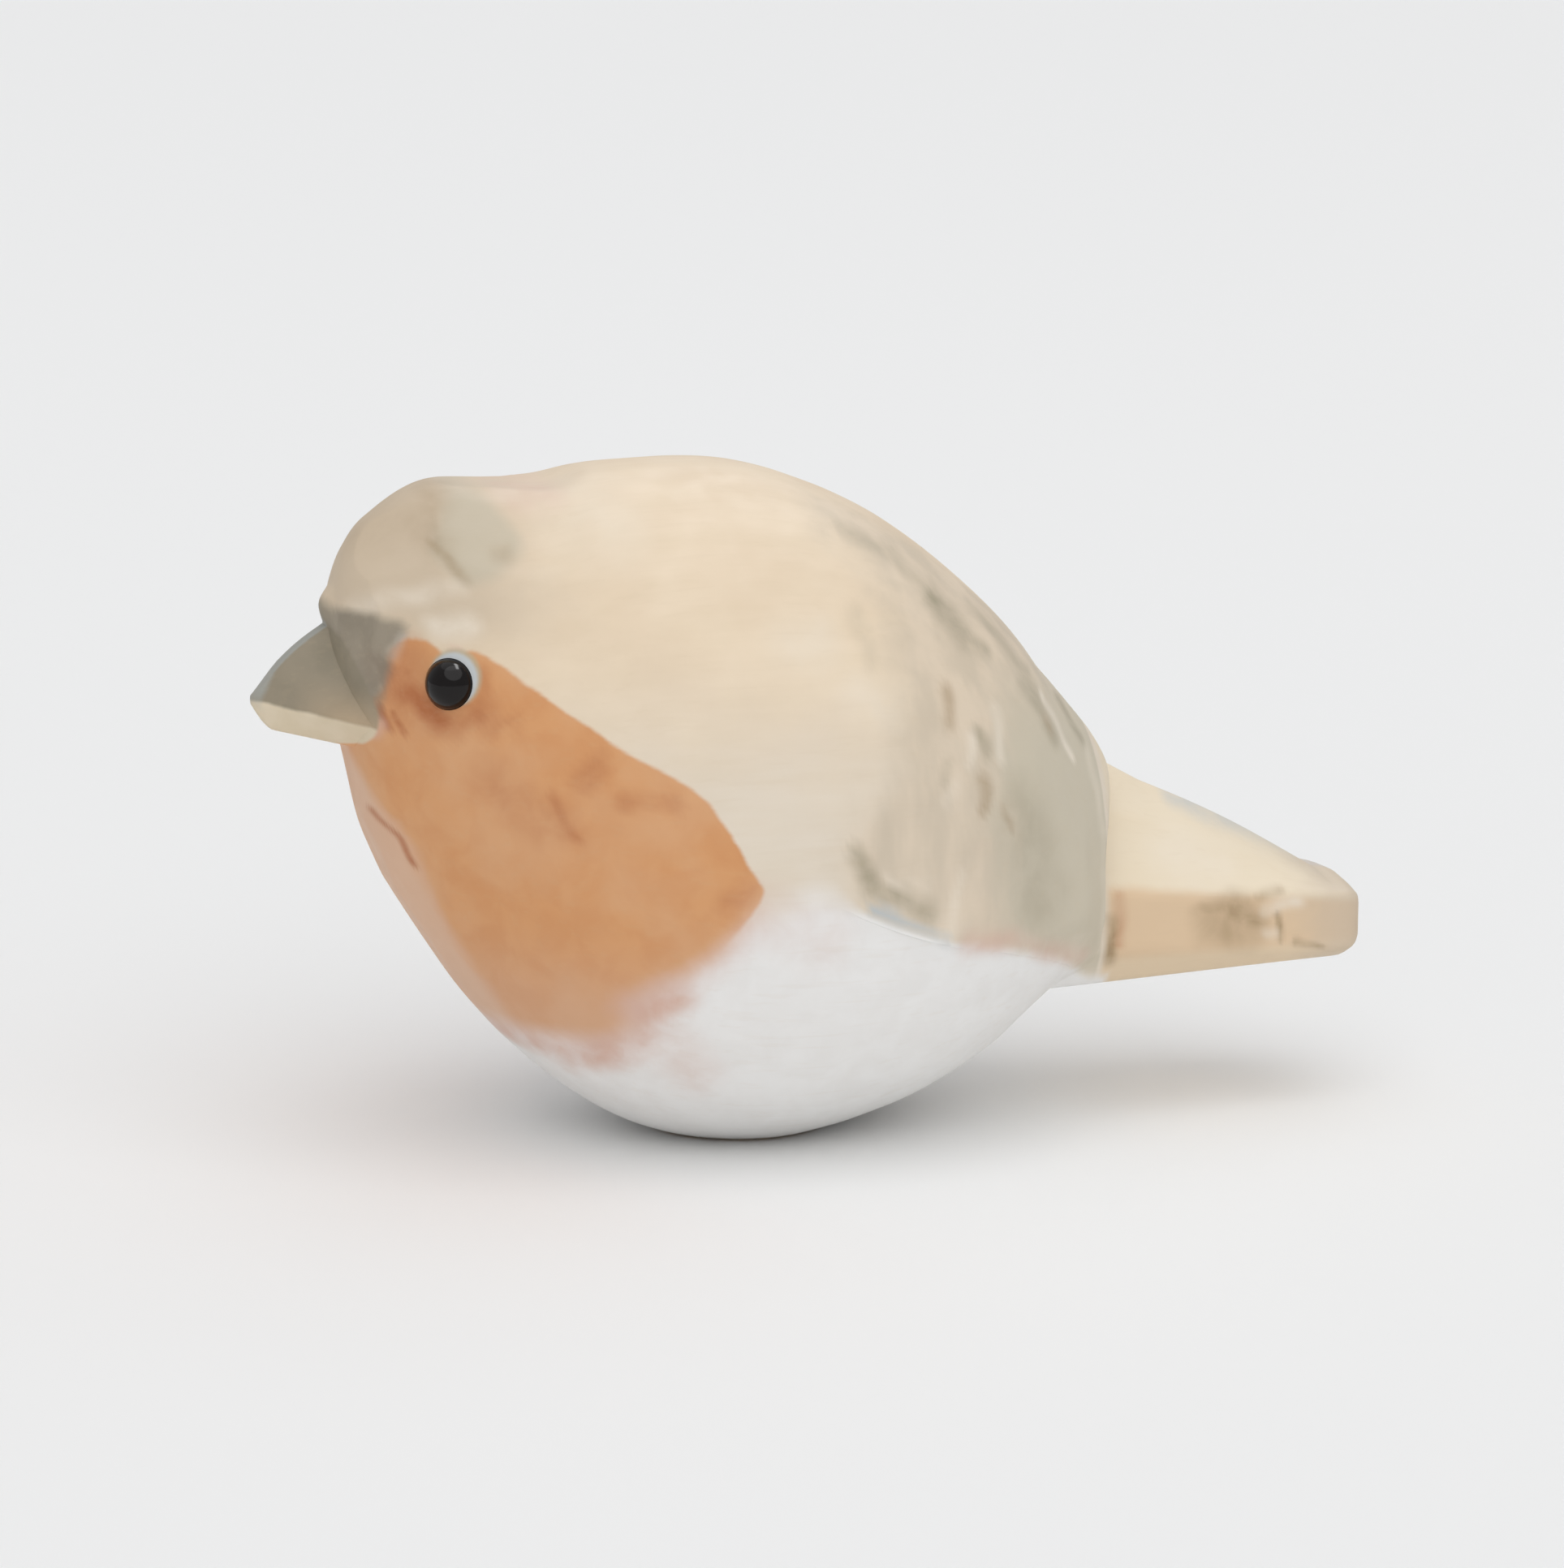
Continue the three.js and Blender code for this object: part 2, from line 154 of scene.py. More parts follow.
# Matte white card: hardly any shine.
card, card_shader = new_material("matte white card")
card_shader.inputs["Base Color"].default_value = linear("#f6f6f5")
card_shader.inputs["Roughness"].default_value = 0.9
card_shader.inputs["Specular IOR Level"].default_value = 0.4
sheet_mesh.materials.append(card)

world = bpy.data.worlds.new("white tent")
world.use_nodes = True
world.node_tree.nodes["Background"].inputs["Color"].default_value = linear("#fbfcff")
world.node_tree.nodes["Background"].inputs["Strength"].default_value = 0.46
scene.world = world


def add_light(kind, name, place, energy, **settings):
    """A light that faces the bird."""
    light = bpy.data.lights.new(name, kind)
    light.energy = energy
    for setting, value in settings.items():
        setattr(light, setting, value)
    lamp = bpy.data.objects.new(name, light)
    lamp.location = place
    lamp.rotation_euler = (-Vector(place)).to_track_quat("-Z", "Y").to_euler()
    scene.collection.objects.link(lamp)
    return lamp


add_light("SUN", "window", (0.0, -0.5, 0.87), 1.1, angle=np.radians(70))
add_light("SUN", "skylight", (0.0, 0.2, 0.98), 0.4, angle=np.radians(60))
front_card = add_light("SUN", "front_card", (-0.3, -0.9, 0.3), 0.3, angle=np.radians(60))
front_card.visible_glossy = False  # it would show as a pale disc in the beads

STREAK_LAMP = {"shape": "RECTANGLE", "size": 0.3, "size_y": 0.1}
for name, place in (("streak_above", (0.15, 0.02, 0.58)), ("streak_behind", (0.20, 0.38, 0.42))):
    lamp = add_light("AREA", name, place, 0.9, **STREAK_LAMP)
    lamp.visible_diffuse = False

# %% [markdown]
# ## The body, section by section
#
# Head, breast, back and wings are one plump form with no straight line in it. It could be sculpted, but a
# carver works from templates: the outline of the back, of the belly, and how wide the bird is at each
# place. The same few numbers are used here. Between two sections each number follows a smooth curve, and
# round the bird the section is a superellipse, which is an ellipse made a little squarer.

# %% Templates
BLOCK_LENGTH = 70 * MM
BLOCK_HEIGHT = 42.4 * MM
BLOCK_WIDTH = 35 * MM
SECTION_FULLNESS = 2.08  # 2 is an ellipse, more is squarer

# Shares of the block: place along the bird, heights of the back, the belly and the widest point, and the
# half-width there.
SECTIONS = np.array([
    (-0.37, 0.76, 0.744, 0.752, 0.005),
    (-0.3675, 0.8, 0.7, 0.755, 0.045),
    (-0.361, 0.845, 0.645, 0.745, 0.084),
    (-0.35, 0.885, 0.555, 0.72, 0.128),
    (-0.329, 0.925, 0.425, 0.68, 0.19),
    (-0.278, 0.971, 0.28, 0.6, 0.292),
    (-0.203, 0.971, 0.13, 0.507, 0.395),
    (-0.107, 0.987, 0.018, 0.46, 0.474),
    (0, 0.979, -0.018, 0.436, 0.5),
    (0.107, 0.911, 0.016, 0.413, 0.486),
    (0.193, 0.806, 0.083, 0.401, 0.425),
    (0.26, 0.684, 0.17, 0.373, 0.334),
    (0.302, 0.53, 0.2, 0.342, 0.246),
])
ALONG, BACK, BELLY, WAIST, HALF = range(5)
LAST = len(SECTIONS) - 1

# How far along the skin each section lies, measured on the back and belly lines together.
between = np.diff(SECTIONS[:, :3], axis=0) * (BLOCK_LENGTH, BLOCK_HEIGHT, BLOCK_HEIGHT)
STATIONS = np.concatenate([[0], np.cumsum(np.linalg.norm(between, axis=1))])
print("skin length, mm", round(STATIONS[-1] / MM, 1))


def template(column, station):
    """One column of the templates at any station: between two sections it is a cubic that leaves one and
    reaches the next at the slope between their own neighbours."""
    values = SECTIONS[:, column]
    each = np.arange(LAST + 1)
    before = np.maximum(each - 1, 0)
    after = np.minimum(each + 1, LAST)
    slope = (values[after] - values[before]) / (STATIONS[after] - STATIONS[before])
    i = np.clip(np.searchsorted(STATIONS, station, side="right") - 1, 0, LAST - 1)
    span = STATIONS[i + 1] - STATIONS[i]
    s = np.clip((station - STATIONS[i]) / span, 0, 1)
    eased = s * s * (3 - 2 * s)
    leaving = s * (1 - s) ** 2 * slope[i] * span
    arriving = s * s * (s - 1) * slope[i + 1] * span
    return values[i] + (values[i + 1] - values[i]) * eased + leaving + arriving


def rising(value, low, high):
    """0 below low, 1 above high, and a smooth S between."""
    share = np.clip((value - low) / (high - low), 0, 1)
    return share * share * (3 - 2 * share)


# %% [markdown]
# ## The wings
#
# The wings are not separate pieces. The carver only cut in below their edges, so that they stand about
# half a millimetre proud of the belly, and let them end in a step above the tail. In the formula this is
# a small push outwards near one angle round the section, which wanders down towards the wing tip, and a
# shallow groove where the two wings meet on the back.

# %% One point of the body
WING_LIP = 0.55 * MM
WING_LIP_FALL = 0.35 * MM  # height over which the lip rounds back to the belly
WING_LIP_STARTS = 0.02
WING_LIP_FULL = 0.07
WING_EDGE_ANGLE = np.radians(90)  # round the section, from the top
WING_EDGE_SLOPE = np.radians(22)
WING_EDGE_DIP = np.radians(42)
WING_EDGE_DIP_SHARPNESS = 8
WING_END_STARTS = 0.26
WING_END_BULGE = 2.1 * MM
GROOVE_DEPTH = 0.6 * MM
GROOVE_HALF_WIDTH = 1.3 * MM
GROOVE_STARTS = 0.12
GROOVE_FULL = 0.26


def wing_edge(station):
    """The angle of the wing's lower edge: it comes down evenly, and faster at the tip."""
    share = np.clip(template(ALONG, station) / SECTIONS[LAST, ALONG], 0, 1)
    return WING_EDGE_ANGLE + WING_EDGE_SLOPE * share + WING_EDGE_DIP * share**WING_EDGE_DIP_SHARPNESS


def body_point(station, angle, side, lip=0.0):
    """Points of the round form. Out is a power of the angle's sine and up one of its cosine, which gives
    the superellipse; lip is 1 on the wing's edge, and side is -1 on the bird's left and 1 on its right."""
    along = template(ALONG, station)
    waist = template(WAIST, station)
    power = 2 / SECTION_FULLNESS
    out = np.maximum(np.sin(angle), 0) ** power
    up = np.sign(np.cos(angle)) * np.abs(np.cos(angle)) ** power
    reach = np.abs(np.where(up > 0, template(BACK, station), template(BELLY, station)) - waist)
    lip_size = WING_LIP * lip * rising(along, WING_LIP_STARTS, WING_LIP_FULL)
    y = template(HALF, station) * BLOCK_WIDTH * out + lip_size * np.sin(angle)
    z = (waist + reach * up) * BLOCK_HEIGHT
    in_groove = np.maximum(1 - y / GROOVE_HALF_WIDTH, 0) * rising(along, GROOVE_STARTS, GROOVE_FULL)
    z = z - np.where(up > 0, GROOVE_DEPTH * in_groove, 0)
    bulge = (1 - out**2) * rising(along, WING_END_STARTS, SECTIONS[LAST, ALONG])
    x = along * BLOCK_LENGTH + np.where(up > 0, WING_END_BULGE * bulge, 0)
    return np.stack(np.broadcast_arrays(x, side * y, z), axis=-1)


# %% [markdown]
# ## Knife cuts
#
# Close up, the wood is not smooth: each stroke of the knife leaves a flat. A few large ones shape the
# crown, the cheeks and the wings, and a scatter of small shallow ones covers the rest. A cut is a plane
# laid a little below the round form, and every point near it that stands in front of the plane is moved
# back onto it. A texture could fake this, but then the outline would stay too smooth.

# %% Cuts
# Place along the bird and height as shares of the block, side (0 is the middle), depth in metres.
LARGE_CUTS = [
    (-0.326, 0.9, -1, 0.45 * MM),
    (-0.317, 0.85, -1, 0.2 * MM),
    (-0.248, 0.92, -1, 0.4 * MM),
    (-0.352, 0.775, -1, 0.2 * MM),
    (0.085, 0.45, -1, 0.2 * MM),
    (0.23, 0.41, -1, 0.35 * MM),
    (-0.322, 0.89, 1, 0.4 * MM),
    (-0.312, 0.84, 1, 0.2 * MM),
    (-0.24, 0.91, 1, 0.35 * MM),
    (-0.352, 0.77, 1, 0.2 * MM),
    (0.095, 0.44, 1, 0.2 * MM),
    (0.235, 0.42, 1, 0.35 * MM),
    (-0.235, 1, 0, 0.25 * MM),
    (-0.33, 0.48, 0, 0.3 * MM),
    (-0.3, 0.3, 0, 0.3 * MM),
]
LARGE_CUT_REACH = 7 * MM
CUT_SOFTNESS = 0.06 * MM  # rounds the rim of a flat
SMALL_CUT_SPACING = 4.6 * MM
SMALL_CUT_DEPTH = 0.05 * MM
SMALL_CUT_REACH = 3.2 * MM
SLOPE_STEP = 0.05

fine_stations = np.linspace(0, STATIONS[-1], 2000)
fine_along = template(ALONG, fine_stations)


def facing(station, angle, side):
    """A point of the round form and the way it faces, across two short steps along and round it."""
    step = SLOPE_STEP * MM
    ahead = body_point(station + step, angle, side) - body_point(station - step, angle, side)
    round_it = body_point(station, angle + SLOPE_STEP, side) - body_point(station, angle - SLOPE_STEP, side)
    normal = np.cross(ahead, round_it) * side
    return body_point(station, angle, side), normal / np.linalg.norm(normal)


def surface_at(along, height, side):
    """The same for a place given by shares of the block, which is turned into a station and an angle."""
    station = np.interp(along, fine_along, fine_stations)
    waist = template(WAIST, station)
    reach = np.abs(template(BACK if height > waist else BELLY, station) - waist)
    share = np.clip((height - waist) / reach, -1, 1)
    angle = np.arccos(np.sign(share) * np.abs(share) ** (SECTION_FULLNESS / 2))
    if side:
        return facing(station, angle, side)
    middle = body_point(station, 0.0 if share > 0 else np.pi, 1)
    step = body_point(station + SLOPE_STEP * MM, 0.0 if share > 0 else np.pi, 1) - middle
    normal = np.array([-step[2], 0, step[0]]) * np.sign(share)
    return middle, normal / np.linalg.norm(normal)


def cut(points, place, normal, depth, reach):
    """Moves the points in front of a plane back onto it, softly at its rim and not beyond its reach."""
    away = points - place
    proud = np.maximum(away @ normal + depth, 0)
    share = 1 - rising(np.linalg.norm(away, axis=-1), reach / 2, reach)
    return points - (share * proud**2 / (proud + CUT_SOFTNESS))[..., None] * normal


def small_cuts():
    """Rows of shallow cuts round the body, each row turned against the last by the golden angle."""
    dice = np.random.default_rng(11)
    for row, station in enumerate(np.arange(SMALL_CUT_SPACING, STATIONS[-1], SMALL_CUT_SPACING)):
        half_round = np.pi * template(HALF, station) * BLOCK_WIDTH * 1.1
        for angle in np.arange((row * 2.4) % 1.0, np.pi, np.pi * SMALL_CUT_SPACING / half_round):
            for side in (-1, 1):
                jitter = dice.uniform(-0.3, 0.3, 2) * SMALL_CUT_SPACING
                moved = min(station + jitter[0], STATIONS[-1] - SMALL_CUT_SPACING / 4)
                turned = np.clip(angle + jitter[1] / half_round * np.pi, 0.05, np.pi - 0.05)
                depth = SMALL_CUT_DEPTH * dice.uniform(0.3, 1.4)
                yield *facing(moved, turned, side), depth


def carved(points):
    """The round form after all its cuts."""
    for along, height, side, depth in LARGE_CUTS:
        points = cut(points, *surface_at(along, height, side), depth, LARGE_CUT_REACH)
    for place, normal, depth in small_cuts():
        points = cut(points, place, normal, depth, SMALL_CUT_REACH)
    return points


# %% [markdown]
# ## From rings of points to a closed skin
#
# Body, beak and tail are all made the same way: rings of points, one behind the other, joined by
# four-sided faces, with a fan of triangles closing each end. The rings are one array, so no point is
# handled alone. The sanded foot is made by letting nothing go below the table.

# %% Skins and the body
ROWS_OVER_WING = 76
ROWS_ROUND_LIP = 6
ROWS_UNDER_WING = 54
BODY_RINGS = 245
ROW_CROWDING = 1.15  # above 1, rows lie closer together near the groove
LIP_GATHER = 3  # above 1, the lip gathers towards the edge


def skin(name, rings):
    """A closed mesh: neighbouring rings are joined by quads, and the ends by fans to their middles."""
    count, around = rings.shape[:2]
    ends = rings[[0, -1]].mean(axis=1)
    points = np.concatenate([rings.reshape(-1, 3), ends])
    ring = np.arange(count)[:, None] * around
    spoke = np.arange(around)[None, :]
    here = ring + spoke
    beside = ring + (spoke + 1) % around
    quads = np.stack([here[:-1], beside[:-1], beside[1:], here[1:]], axis=-1).reshape(-1, 4)
    first = np.full(around, count * around)
    fans = np.concatenate([
        np.stack([first, beside[0], here[0]], axis=-1),
        np.stack([first + 1, here[-1], beside[-1]], axis=-1),
    ])
    mesh = bpy.data.meshes.new(name)
    mesh.from_pydata(points.tolist(), [], quads.tolist() + fans.tolist())
    made = bpy.data.objects.new(name, mesh)
    scene.collection.objects.link(made)
    print(name, len(points), "points")
    return made


def half_rows(station):
    """The angles round half a section and how much of the lip each has: over the wing, round the lip as
    a quarter circle, and under it."""
    edge = wing_edge(station)
    below = edge + WING_LIP_FALL / (template(HALF, station) * BLOCK_WIDTH + WING_LIP_FALL)
    over = np.linspace(0, 1, ROWS_OVER_WING) ** ROW_CROWDING
    turn = np.linspace(0, 1, ROWS_ROUND_LIP + 1)[1:]
    under = np.linspace(0, 1, ROWS_UNDER_WING)[1:]
    angles = [edge * over, edge + (below - edge) * turn, below + (np.pi - below) * under]
    lips = [over**LIP_GATHER, np.sqrt(1 - turn**2), np.zeros_like(under)]
    both = np.broadcast_arrays(np.concatenate(angles, axis=-1), np.concatenate(lips))
    return both


def body_rings():
    """Sections from the face to the wing ends: each half section down the left and back up the right."""
    station = np.linspace(0, STATIONS[-1], BODY_RINGS)[:, None]
    angle, lip = half_rows(station)
    left = body_point(station, angle, -1, lip)
    right = body_point(station, angle, 1, lip)[:, 1:-1][:, ::-1]
    points = carved(np.concatenate([left, right], axis=1))
    points[..., 2] = np.maximum(points[..., 2], 0)
    return points


# The carver left a small bump of wood where the forehead meets the top of the beak.
BUMP_PLACE = np.array([-25.8, 0, 33.9]) * MM
BUMP_TOWARDS = np.array([-0.95, 0, 0.31])
BUMP_HEIGHT = 0.55 * MM
BUMP_REACH = 1.7 * MM


def bumped(points):
    """Pushes the points near the bump's place outwards, less the further they are from it."""
    share = 1 - rising(np.linalg.norm(points - BUMP_PLACE, axis=-1), 0, BUMP_REACH)
    return points + BUMP_HEIGHT * share[..., None] * BUMP_TOWARDS


bird = skin("painted_bird", bumped(body_rings()))

# %% [markdown]
# ## Beak and tail
#
# Both are little bars with flat faces and slightly worn edges. Each ring is first a polygon, given by a
# few corners whose sizes change along the bar. Then every corner is replaced by a short curve, as
# sandpaper and paint round the real ones. Drawing the polygons and beveling them later would also do,
# but this way the faces stay even towards the pointed tip.

# %% Rounded bars
def rounded(corners, radius, on_corner=5, on_side=12):
    """Rings of corners, shape (rings, corners, 3), with each corner turned into a quadratic curve that
    leaves and meets its sides at radius from the corner, or nearer where a side is short."""
    def towards(other):
        gap = other - corners
        length = np.maximum(np.linalg.norm(gap, axis=-1, keepdims=True), 1e-9)
        return corners + gap * np.minimum(radius / length, 0.45)

    start = towards(np.roll(corners, 1, axis=1))[:, :, None]
    stop = towards(np.roll(corners, -1, axis=1))[:, :, None]
    t = np.linspace(0, 1, on_corner)[:, None]
    curve = (1 - t) ** 2 * start + 2 * t * (1 - t) * corners[:, :, None] + t**2 * stop
    s = np.linspace(0, 1, on_side + 2)[1:-1, None]
    side = stop + (np.roll(start, -1, axis=1) - stop) * s
    return np.concatenate([curve, side], axis=2).reshape(len(corners), -1, 3)


def mirrored_corners(x, outs, heights):
    """Corners down the left side and up the right from lists of half-widths and heights at each x."""
    x, out, z = np.broadcast_arrays(x[:, None], np.stack(outs, axis=-1), np.stack(heights, axis=-1))
    left = np.stack([x, -out, z], axis=-1)
    right = np.stack([x, out, z], axis=-1)
    return np.concatenate([left, right[:, ::-1]], axis=1)


BEAK_TIP_X = -0.4357 * BLOCK_LENGTH
BEAK_TIP_Z = 0.666 * BLOCK_HEIGHT
BEAK_ROOT_X = -0.3 * BLOCK_LENGTH  # its end, inside the head
BEAK_TIP_SIZE = 0.28 * MM
BEAK_TOP_RISE = 0.9  # climb of the top for each step back from the tip
BEAK_TOP_BULGE = 0.4 * MM  # the ridge swells between the tip and the face
BEAK_SHOWN = 4.6 * MM
BEAK_TOP_HALF_WIDTH = 0.75 * MM
BEAK_MOUTH_SPREAD = 0.74
BEAK_MOUTH_DROP = 0.17
BEAK_JAW_LENGTH = 1.4 * MM
BEAK_JAW_DEPTH = 1.6 * MM
BEAK_JAW_SLOPE = 0.2
BEAK_JAW_NARROWING = 0.55
BEAK_WEAR = 0.3 * MM
BEAK_RINGS = 30

back = np.linspace(0, 1, BEAK_RINGS) ** 1.2 * (BEAK_ROOT_X - BEAK_TIP_X)
in_jaw = rising(back, -BEAK_JAW_LENGTH, BEAK_JAW_LENGTH) * 2 - 1
mouth = BEAK_TIP_SIZE + BEAK_MOUTH_SPREAD * back
swell = BEAK_TOP_BULGE * np.sin(np.pi * np.minimum(back / BEAK_SHOWN, 1))
beak_top = BEAK_TIP_Z + BEAK_TIP_SIZE + BEAK_TOP_RISE * back + swell
jaw = BEAK_TIP_SIZE + BEAK_JAW_DEPTH * in_jaw + BEAK_JAW_SLOPE * np.maximum(back - BEAK_JAW_LENGTH, 0)
beak_corners = mirrored_corners(
    BEAK_TIP_X + back,
    [np.minimum(BEAK_TOP_HALF_WIDTH, mouth / 2), mouth, mouth * BEAK_JAW_NARROWING],
    [beak_top, BEAK_TIP_Z - BEAK_MOUTH_DROP * back, BEAK_TIP_Z - jaw],
)
beak = skin("beak", rounded(beak_corners, BEAK_WEAR))

# %% [markdown]
# The tail's top is a low roof, its sides stand upright, and the underside is chamfered. It ends in a cut
# face whose edges are drawn in along a curve, so the last rings shrink as they come to the end.

# %% Tail
TAIL_ROOT = 0.22  # its start, inside the body
TAIL_OUT = 0.3  # where it comes out from under the wings
TAIL_END = 0.5643
TAIL_RIDGE = (0.548 * BLOCK_HEIGHT, 0.328 * BLOCK_HEIGHT)  # where it comes out, and at the end
TAIL_RIDGE_SWEEP = 1.05  # above 1, the ridge falls in a hollow curve
TAIL_SHOULDER = (0.342 * BLOCK_HEIGHT, 0.315 * BLOCK_HEIGHT)
TAIL_HALF_WIDTH = (6.9 * MM, 5.3 * MM)
TAIL_SIDE = (3.6 * MM, 3.7 * MM)
TAIL_CHAMFER = (2.5 * MM, 0.8 * MM)
TAIL_CHAMFER_IN = 1.6 * MM
TAIL_TOP_EDGE_OUT = 0.55
TAIL_TOP_EDGE_UP = 0.62
TAIL_RIDGE_SWELL = 0.45 * MM  # near its end the ridge is fuller than the curve
TAIL_END_ROUND = 1.6 * MM
TAIL_WEAR = 0.5 * MM
TAIL_RINGS = 90
TAIL_END_RINGS = 7


def tapered(ends, share):
    """A size that changes evenly from the first to the second of its two values."""
    return ends[0] + (ends[1] - ends[0]) * share


turn = np.concatenate([np.zeros(TAIL_RINGS), np.linspace(0, np.pi / 2, TAIL_END_RINGS + 1)[1:]])
inset = TAIL_END_ROUND * (1 - np.cos(turn))
along = np.concatenate([np.linspace(TAIL_ROOT, TAIL_END, TAIL_RINGS), np.full(TAIL_END_RINGS, TAIL_END)])
share = (along - TAIL_OUT) / (TAIL_END - TAIL_OUT)
is_out = np.maximum(share, 0)
fall = (1 - is_out) ** TAIL_RIDGE_SWEEP - np.minimum(share, 0)
swell = TAIL_RIDGE_SWELL * np.sin(np.pi * np.clip((share - 0.3) / 0.7, 0, 1))
ridge = tapered(TAIL_RIDGE[::-1], fall) + swell - inset / 2
shoulder = tapered(TAIL_SHOULDER, share) - inset / 2
half = tapered(TAIL_HALF_WIDTH, share) - inset
low_edge = shoulder - tapered(TAIL_SIDE, share) + inset
bottom = low_edge - tapered(TAIL_CHAMFER, share) + inset / 4
tail_x = along * BLOCK_LENGTH - TAIL_END_ROUND * (1 - np.sin(turn)) * is_out
tail_corners = mirrored_corners(
    tail_x,
    [0 * half, half * TAIL_TOP_EDGE_OUT, half, half, half - TAIL_CHAMFER_IN],
    [ridge, tapered((shoulder, ridge), TAIL_TOP_EDGE_UP), shoulder, low_edge, bottom],
)
tail_corners = np.delete(tail_corners, -1, axis=1)
tail = skin("tail", rounded(tail_corners, TAIL_WEAR))

# %% [markdown]
# ## One piece of wood
#
# The three skins overlap, and the real bird is one piece, so they are joined by a boolean, which also
# leaves the sharp crease that the knife left at the root of the beak and of the tail. The same tool
# drills the two eye sockets, square to the head.

# %% Join and drill
EYE_ALONG = -0.29
EYE_HEIGHT = 0.718
EYE_BEAD = 3.2 * MM  # diameter
EYE_SUNK = 0.5 * MM  # depth of the bead's middle below the head
SOCKET_GAP = 0.03 * MM
SOCKET_SIDES = 64


def eye_seat(side):
    """The middle of an eye's bead, and the way that it looks."""
    place, normal = surface_at(EYE_ALONG, EYE_HEIGHT, side)
    return place - normal * EYE_SUNK, normal


def across(normal):
    """Two directions square to a normal and to each other."""
    first = np.cross(normal, [0, 0, 1])
    first = first / np.linalg.norm(first)
    return first, np.cross(normal, first)


def socket(side):
    """A bar along the normal. Behind the bead it is round-ended. In front it closes in as the bead does,
    because glue and paint fill the hole up to the glass, and outside the head it runs on straight."""
    middle, normal = eye_seat(side)
    first, second = across(normal)
    turn = np.linspace(0, 2 * np.pi, SOCKET_SIDES, endpoint=False)[None, :, None]
    depth = np.array([-1.2, -1.1, -0.7, 0.0, 0.15, 0.31, 0.45, 1.5])[:, None, None] * EYE_BEAD / 2
    closing = np.sqrt(1 - np.clip(depth / EYE_BEAD * 2, 0, 0.36) ** 2)
    radius = np.array([0.3, 0.75, 1, 1, 1, 1, 1, 1])[:, None, None] * (closing * EYE_BEAD / 2 + SOCKET_GAP)
    ring = middle + normal * depth + (first * np.cos(turn) + second * np.sin(turn)) * radius
    return skin("drill", ring)


def combine(target, tool, operation):
    """Joins the tool to the target, or cuts it away, and takes the tool out of the scene."""
    step = target.modifiers.new(operation.lower(), "BOOLEAN")
    step.operation = operation
    step.solver = "EXACT"
    step.object = tool
    depsgraph = bpy.context.evaluated_depsgraph_get()
    target.data = bpy.data.meshes.new_from_object(target.evaluated_get(depsgraph))
    target.modifiers.clear()
    bpy.data.objects.remove(tool)


combine(bird, beak, "UNION")
combine(bird, tail, "UNION")
for side in (-1, 1):
    combine(bird, socket(side), "DIFFERENCE")
bird.data.shade_smooth()
bird.data.set_sharp_from_angle(angle=np.radians(38))
print("bird", len(bird.data.vertices), "points")

# %% [markdown]
# ## Where the paint goes
#
# The painter drew no pattern: a few brush loads of thinned acrylic, each with an edge that is crisp where
# the brush was pressed and soft where the paint ran. To place them, every point of the bird stores how far
# it lies inside each painted area, in metres. Far better than painted pixels, such a distance stays
# sharp at any size, and the material can make the edge wavy, ragged or soft.

# %% Outlines of the painted areas
points = np.empty(len(bird.data.vertices) * 3)
bird.data.vertices.foreach_get("co", points)
points = points.reshape(-1, 3)
seen_from_side = points[:, [0, 2]]


def smooth_outline(corners, steps=8):
    """A closed curve through the corners: between two of them, a cubic whose slopes come from their
    neighbours."""
    p = np.array(corners) * MM
    before, after, next_after = np.roll(p, 1, axis=0), np.roll(p, -1, axis=0), np.roll(p, -2, axis=0)
    t = np.linspace(0, 1, steps, endpoint=False)[None, :, None]
    p, before, after, next_after = (a[:, None] for a in (p, before, after, next_after))
    bend = 2 * before - 5 * p + 4 * after - next_after
    twist = -before + 3 * p - 3 * after + next_after
    return (p + 0.5 * (t * (after - before) + t**2 * bend + t**3 * twist)).reshape(-1, 2)


def inside(places, outline):
    """How far each place lies inside a closed outline, negative outside: the distance to the nearest
    side, with the sign from how often a ray crosses the outline."""
    a, b = outline, np.roll(outline, -1, axis=0)
    nearest = np.full(len(places), np.inf)
    crossings = np.zeros(len(places), dtype=int)
    for start, stop in zip(a, b):
        gap = stop - start
        share = np.clip((places - start) @ gap / (gap @ gap), 0, 1)
        nearest = np.minimum(nearest, np.linalg.norm(places - start - share[:, None] * gap, axis=1))
        level = (start[1] > places[:, 1]) != (stop[1] > places[:, 1])
        with np.errstate(divide="ignore", invalid="ignore"):
            crossing = start[0] + (places[:, 1] - start[1]) * gap[0] / gap[1]
        crossings += level & (places[:, 0] < crossing)
    return np.where(crossings % 2, nearest, -nearest)


def keep(name, values):
    """Stores one number for each point of the bird."""
    made = bird.data.attributes.new(name, "FLOAT", "POINT")
    made.data.foreach_set("value", np.ascontiguousarray(values, dtype=np.float32))


